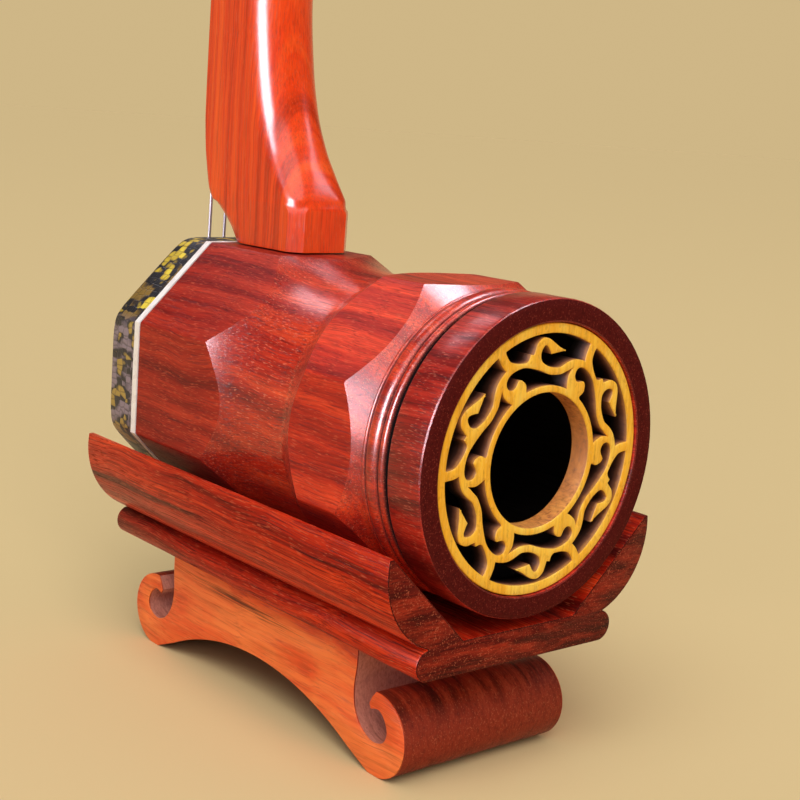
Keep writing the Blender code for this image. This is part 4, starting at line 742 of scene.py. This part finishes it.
# The slot's front edge is eased by a narrow chamfer
rows = []
for y, wider in ((HEAD_FRONT_Y - 10, 0.8), (HEAD_FRONT_Y, 0.8), (HEAD_FRONT_Y + 0.8, 0), (HEAD_BACK_Y - 8, 0)):
    line = bow(0, SLOT_HIGH_Z - SLOT_HALF, SLOT_HALF + wider, 0, 180, 20)
    line += bow(0, SLOT_LOW_Z + SLOT_HALF, SLOT_HALF + wider, 180, 360, 20)
    rows.append([(u, y, v) for u, v in line])
carve(head, loft(rows))
carve(head, loft([section(z, 5.3, HEAD_MIDDLE_Y - 5.3, HEAD_MIDDLE_Y + 5.3, 1.3, 1.3, steps=4)
                  for z in (HEAD_Z - 1, 790.3)]))
PEGS = {"upper": (854.0, -1), "lower": (820.0, 1)}  # height, and the side that its handle is on
for z, side_on in PEGS.values():
    carve(head, loft([wheel(side_on * x, z, peg_radius(x) + 0.09) for x in (CHEEK + 3, -CHEEK - 3)]))
aged_bone, tree = fresh("polished_bone")
spot = add(tree, "TexCoord")
grid = add(tree, "Mapping", {"Vector": spot.outputs["Object"], "Scale": (900, 900, 90)})
vein = add(tree, "TexNoise", {"Vector": grid, "Scale": 1.0, "Detail": 3.0})
tone = add(tree, "ValToRGB", {0: vein}, stops=((0.35, linear("#DCCDAA")), (0.6, linear("#EFE4C8"))))
rough = add(tree, "MapRange", {"Value": vein, "To Min": 0.25, "To Max": 0.4})
bump = add(tree, "Bump", {"Strength": 0.3, "Distance": 0.05 * MM, "Height": vein})
shader = add(tree, "BsdfPrincipled", {"Base Color": tone, "Roughness": rough, "IOR": 1.54, "Normal": bump})
add(tree, "OutputMaterial", {"Surface": shader})
for name in ("head_cap", "nut"):
    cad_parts[name].data.materials[0] = aged_bone

# Pegs: turned from dark rosewood, tapered through both cheeks, with a collar, a fluted handle and a
# button of bone. Each holds four turns of drawn steel string.
peg_rosewood = polished_wood(
    "peg_rosewood", ("#4A0E0A", "#7E1E12", "#A02C18"), "#3E0C0A", layers=(90, 5, 4),
    fibres=(22, 0.6, 0.6), pores=(2.5, 0.3, 0.3), grain="X", roughness=0.33, shine=0.12, coat=0.08,
    pale_pore="#B8583C", pale_share=0.25, streaks=0.7)
bright_steel, tree = fresh("drawn_steel")
spot = add(tree, "TexCoord")
grid = add(tree, "Mapping", {"Vector": spot.outputs["Object"], "Scale": (4000, 4000, 120)})
draw = add(tree, "TexNoise", {"Vector": grid, "Scale": 1.0, "Detail": 2.0})
tone = add(tree, "ValToRGB", {0: draw}, stops=((0.35, linear("#A2A2B2")), (0.65, linear("#ACACBC"))))
rough = add(tree, "MapRange", {"Value": draw, "To Min": 0.27, "To Max": 0.32})
bump = add(tree, "Bump", {"Strength": 0.1, "Distance": 0.01 * MM, "Height": draw})
shader = add(tree, "BsdfPrincipled", {"Base Color": tone, "Metallic": 1.0, "Roughness": rough, "Normal": bump})
add(tree, "OutputMaterial", {"Surface": shader})
shaft = [(-23, 3.1, 0), (-22.7, 3.75, 0), (-22.2, 4.05, 0), (-21.4, peg_radius(-21.4), 0),
         (CHEEK + 0.3, peg_radius(CHEEK), 0), (CHEEK + 0.3, 7.6, 0), (CHEEK + 0.6, 8.2, 0),
         (CHEEK + 1.2, 8.5, 0), (CHEEK + 1.9, 8.55, 0), (CHEEK + 2.6, 8.35, 0), (CHEEK + 3.2, 7.8, 0)]
handle = [(CHEEK + 4.2, 6.5, 0), (CHEEK + 7, 6.8, 0.4), (CHEEK + 18.9, 8.84, 1.1), (CHEEK + 35.1, 11.7, 1.3),
          (CHEEK + 47.5, 13, 1.3), (CHEEK + 51.8, 11.8, 1.1), (CHEEK + 54, 7.8, 0)]
button = [(CHEEK + 54.3, 4.4, 0), (CHEEK + 54.6, 4.5, 0), (CHEEK + 56.4, 4.25, 0), (CHEEK + 57.7, 3.1, 0),
          (CHEEK + 58.3, 1.6, 0)]
for name, (z, side_on) in PEGS.items():
    carried = {"body": name + "_tuning_peg", "centre": (0, PEG_Y, z)}
    for part, profile, look, slot, replaced in (
            ("turned_peg", shaft + eased_stations(handle, 5), peg_rosewood, "rosewood", "peg"),
            ("peg_button", eased_stations(button, 4), aged_bone, "bone", "peg_tip")):
        piece(name + "_" + part, loft([wheel(side_on * x, z, r, flute) for x, r, flute in profile]),
              [look], slot, [name + "_" + replaced], **carried)
    start, stop = (corner.x / MM + 0.6 * sign for corner, sign in zip(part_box(name + "_winding"), (1, -1)))
    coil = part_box(name + "_winding")[1].z / MM - z - 0.6
    rows = []
    for step in range(4 * 28 + 1):
        a, x = 2 * math.pi * step / 28, start + (stop - start) * step / (4 * 28)
        rows.append([(x + 0.58 * math.sin(b), PEG_Y + (coil + 0.58 * math.cos(b)) * math.cos(a),
                      z + (coil + 0.58 * math.cos(b)) * math.sin(a))
                     for b in (math.pi * k / 4 for k in range(8))])
    piece(name + "_string_turns", loft(rows), [bright_steel], "steel", [name + "_winding"], **carried)

# Bridge: a small arched bridge of bare maple on the skin, thinner at its top, notched for the strings.
bridge_low, bridge_high = (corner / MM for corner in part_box("bridge"))
wide, high = bridge_high.x, bridge_high.y - bridge_low.y
STRING_X, NOTCH = 3.3, 0.6
half = [(0.36 * wide, 0), (wide, 0)]
half += smoothed([(wide, 0.12 * high), (0.84 * wide, 0.26 * high), (0.70 * wide, 0.48 * high),
                  (0.60 * wide, 0.74 * high), (0.52 * wide, high)], 5)
half += [(0.52 * wide, high), (STRING_X + 1.3 * NOTCH, high), (STRING_X, high - NOTCH),
         (STRING_X - 1.3 * NOTCH, high)]
arch = smoothed([(-0.36 * wide, 0), (-0.24 * wide, 0.28 * high), (0, 0.4 * high), (0.24 * wide, 0.28 * high),
                 (0.36 * wide, 0)], 5)
outline = arch + half + [(-u, v) for u, v in reversed(half[1:])]
outward = -1 if turns_left(outline) else 1
rows = []
for along, set_in in ((-1, 0.25), (-0.97, 0.08), (-0.9, 0), (0.9, 0), (0.97, 0.08), (1, 0.25)):
    line = eased(outline, -outward * set_in) if set_in else outline
    along *= (bridge_high.z - bridge_low.z) / 2
    rows.append([(u, bridge_high.y - v, (bridge_high.z + bridge_low.z) / 2 + along * (1 - 0.3 * v / high))
                 for u, v in line])
bare_maple = polished_wood(
    "bare_maple", ("#8A5A30", "#A87242", "#C08C58"), "#7A4E2A", layers=(40, 3, 2),
    fibres=(9, 0.5, 0.5), pores=(2, 0.3, 0.3), grain="X", roughness=0.55, shine=0.3, coat=0.0,
    pale_pore="#5E3A1E", pale_share=0.3, streaks=0.3)
piece("arched_bridge", loft(rows), [bare_maple], "bridge_wood", ["bridge"])

# Strings, tail hook, bolt and washer: the same drawn steel.
for name in ("inner_string", "outer_string", "tail_hook", "base_bolt", "bolt_washer"):
    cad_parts[name].data.materials[0] = bright_steel

# Binding: a strip of white celluloid glued in the rebate behind the skin.
white_binding, tree = fresh("white_celluloid")
spot = add(tree, "TexCoord")
cloud = add(tree, "TexNoise", {"Vector": spot.outputs["Object"], "Scale": 1 / (6 * MM), "Detail": 3.0})
tone = add(tree, "ValToRGB", {0: cloud}, stops=((0.35, linear("#F6EAE8")), (0.6, linear("#FFFAF8"))))
rough = add(tree, "MapRange", {"Value": cloud, "To Min": 0.2, "To Max": 0.35})
bump = add(tree, "Bump", {"Strength": 0.2, "Distance": 0.05 * MM, "Height": cloud})
shader = add(tree, "BsdfPrincipled", {"Base Color": tone, "Roughness": rough, "IOR": 1.5, "Normal": bump})
add(tree, "OutputMaterial", {"Surface": shader})
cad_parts["binding_ring"].data.materials[0] = white_binding

# Tray: planed from thick rosewood, its flaring walls round outside and flat inside, on a rounded
# base moulding. The box's lowest face rests in it.
TRAY_FRONT_Y, TRAY_REAR_Y = (corner.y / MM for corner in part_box("tray"))
TRAY_BOTTOM, FLOOR_TOP, WALL_TOP = 38.6, 49.2, 77.7
side_x, side_z = 54.6 - 26.5, WALL_TOP - 0.16 * 26.5
crease = -math.degrees(math.asin((side_z - (TRAY_BOTTOM + 5.0) - 5.0) / 26.5))
half = [(23.2, FLOOR_TOP), (52.8, WALL_TOP)] + bow(side_x, side_z, 26.5, 9, crease, 24)
half += bow(36.2, TRAY_BOTTOM + 5.0, 5.0, 78, -90, 20)
outline = half + [(-u, v) for u, v in reversed(half)]
outward = -1 if turns_left(outline) else 1
rows = []
for y, set_in in ((TRAY_FRONT_Y, 0.5), (TRAY_FRONT_Y + 0.15, 0.15), (TRAY_FRONT_Y + 0.5, 0),
                  (TRAY_REAR_Y - 0.5, 0), (TRAY_REAR_Y - 0.15, 0.15), (TRAY_REAR_Y, 0.5)):
    line = eased(outline, -outward * set_in) if set_in else outline
    rows.append([(u, y, v) for u, v in line])
tray_rosewood = polished_wood(
    "tray_rosewood", ("#5C100A", "#B4240E", "#DE401A"), "#460C08", layers=(30, 220, 5),
    fibres=(0.6, 46, 0.6), pores=(0.3, 4.0, 0.3), grain="Y", roughness=0.3, shine=0.08, coat=0.03,
    pale_pore="#F08058", pale_share=0.3, streaks=0.9, lean=14)
tray_end_grain = polished_wood(
    "tray_end_grain", ("#380A06", "#62130A", "#962A16"), "#440F0A", layers=(34, 220, 5),
    fibres=(5, 20, 0.7), pores=(0.45, 3.0, 0.4), grain="X", roughness=0.42, shine=0.1, coat=0.0,
    pale_pore="#C86848", pale_share=0.45, streaks=0.7)
mesh = loft(rows)
for face in mesh.faces:
    face.material_index = int(len(face.verts) > 4)
piece("tray_wood", mesh, [tray_rosewood, tray_end_grain], "rosewood", ["tray"])

# Foot: sawn from a broad orange board, arched underneath, each end curled into a scroll.
FOOT_Y = (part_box("scroll_foot")[0].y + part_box("scroll_foot")[1].y) / 2 / MM
EYE, SCROLL, FOOT_TOP, FOOT_HALF = 63.2, 13.4, 38.3, 34.2
arch_end = math.degrees(math.asin(0.8 * EYE / 111.0))
half = bow(0, 16.5 - 111.0, 111.0, 90, 90 - arch_end, 20)
sole_turn = math.degrees(math.asin(2.5 / SCROLL))
half.append((EYE - 2.5, 0))
half += bow(EYE, SCROLL * math.cos(math.radians(sole_turn)), SCROLL, sole_turn - 90, 96, 40)
tail = [(EYE - 3.2, 20.4), (EYE + 0.4, 21.2), (EYE + 3.2, 19.2), (EYE + 4.8, 15.4), (EYE + 3.2, 11.8),
        (EYE - 1.4, 10.4), (EYE - 6.6, 12.6), (EYE - 10.3, 17.6), (EYE - 11.5, 24.0), (EYE - 10.9, 31.5),
        (EYE - 10.9, FOOT_TOP)]
half += [(EYE - 2.9, 24.6), (EYE - 4.1, 22.0)] + smoothed(tail, 6) + [tail[-1]]
outline = half + [(-u, v) for u, v in reversed(half[1:])]
outward = -1 if turns_left(outline) else 1
rows = []
for x, set_in in ((-FOOT_HALF, 0.5), (-FOOT_HALF + 0.15, 0.15), (-FOOT_HALF + 0.5, 0),
                  (FOOT_HALF - 0.5, 0), (FOOT_HALF - 0.15, 0.15), (FOOT_HALF, 0.5)):
    line = eased(outline, -outward * set_in) if set_in else outline
    rows.append([(x, FOOT_Y + u, v) for u, v in line])
foot_rosewood = polished_wood(
    "foot_rosewood", ("#AC3814", "#F4602A", "#FF8442"), "#842812", layers=(4, 120, 16),
    fibres=(0.7, 40, 1.4), pores=(0.35, 4.0, 0.5), grain="Y", roughness=0.36, shine=0.14, coat=0.0,
    pale_pore="#FF9C60", pale_share=0.2, streaks=0.3)
# A dark mineral streak runs through the board close under its top
tree = foot_rosewood.node_tree
shader = tree.nodes["Principled BSDF"]
spot = add(tree, "TexCoord")
reach = add(tree, "Mapping", {"Vector": spot.outputs["Object"], "Location": (0, (FOOT_Y - 10) * MM, 32.4 * MM),
                              "Rotation": (math.radians(-2), 0, 0), "Scale": (0.3, 42 * MM, 2.6 * MM)},
            vector_type="TEXTURE")
reach = add(tree, "VectorMath", {0: reach}, operation="LENGTH").outputs["Value"]
strand = add(tree, "Mapping", {"Vector": spot.outputs["Object"], "Scale": (4 * MM, 18 * MM, 0.4 * MM)},
             vector_type="TEXTURE")
strand = add(tree, "TexNoise", {"Vector": strand, "Scale": 1.0, "Detail": 3.0})
reach = add(tree, "Math", {0: strand, 1: -2.2, 2: reach}, operation="MULTIPLY_ADD")
reach = add(tree, "MapRange", {"Value": reach, "From Min": -0.45, "From Max": -1.0, "To Max": 0.85})
figure = shader.inputs["Base Color"].links[0].from_socket
figure = add(tree, "Mix", {0: reach, 6: figure, 7: linear("#3A1C10")}, data_type="RGBA").outputs[2]
tree.links.new(figure, shader.inputs["Base Color"])
# Round the outside of its scrolls and on its other sawn edges the board is darker: its own end grain, and painted
# shade where the tray and the arch shade it. Inside the scrolls it is painted paler and pinker, a painted light
# against their shade, and left rougher
foot_edge_grain_and_painted_shade = polished_wood(
    "foot_edge_grain_and_painted_shade", ("#521A0E", "#862C16", "#A64024"), "#8A2C16", layers=(4, 60, 30),
    fibres=(0.7, 30, 1.4), pores=(0.35, 3.0, 0.5), grain="Y", roughness=0.36, shine=0.14, coat=0.0,
    pale_pore="#D07850", pale_share=0.25, streaks=0.5)
curl_painted_lighter = polished_wood(
    "curl_painted_lighter", ("#9C5A48", "#BC7460", "#CE8A74"), "#BC7460", layers=(4, 60, 30),
    fibres=(0.7, 30, 1.4), pores=(0.35, 3.0, 0.5), grain="Y", roughness=0.6, shine=0.2, coat=0.0,
    pale_pore="#8A4A3A", pale_share=0.2, streaks=0.4)
mesh = loft(rows, finish=[0, 0, 1, 0, 0])
for face in mesh.faces:
    middle = face.calc_center_median()
    along, reach = abs(middle.y - FOOT_Y) - EYE, middle.z - SCROLL
    if face.material_index and along > -13 and middle.z > 8:
        outside = math.hypot(along, reach) > SCROLL - 0.5 and along > -3.5
        face.material_index = 1 if outside else 2
piece("foot_wood", mesh, [foot_rosewood, foot_edge_grain_and_painted_shade, curl_painted_lighter], "foot_rosewood", ["scroll_foot"])

low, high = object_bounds()
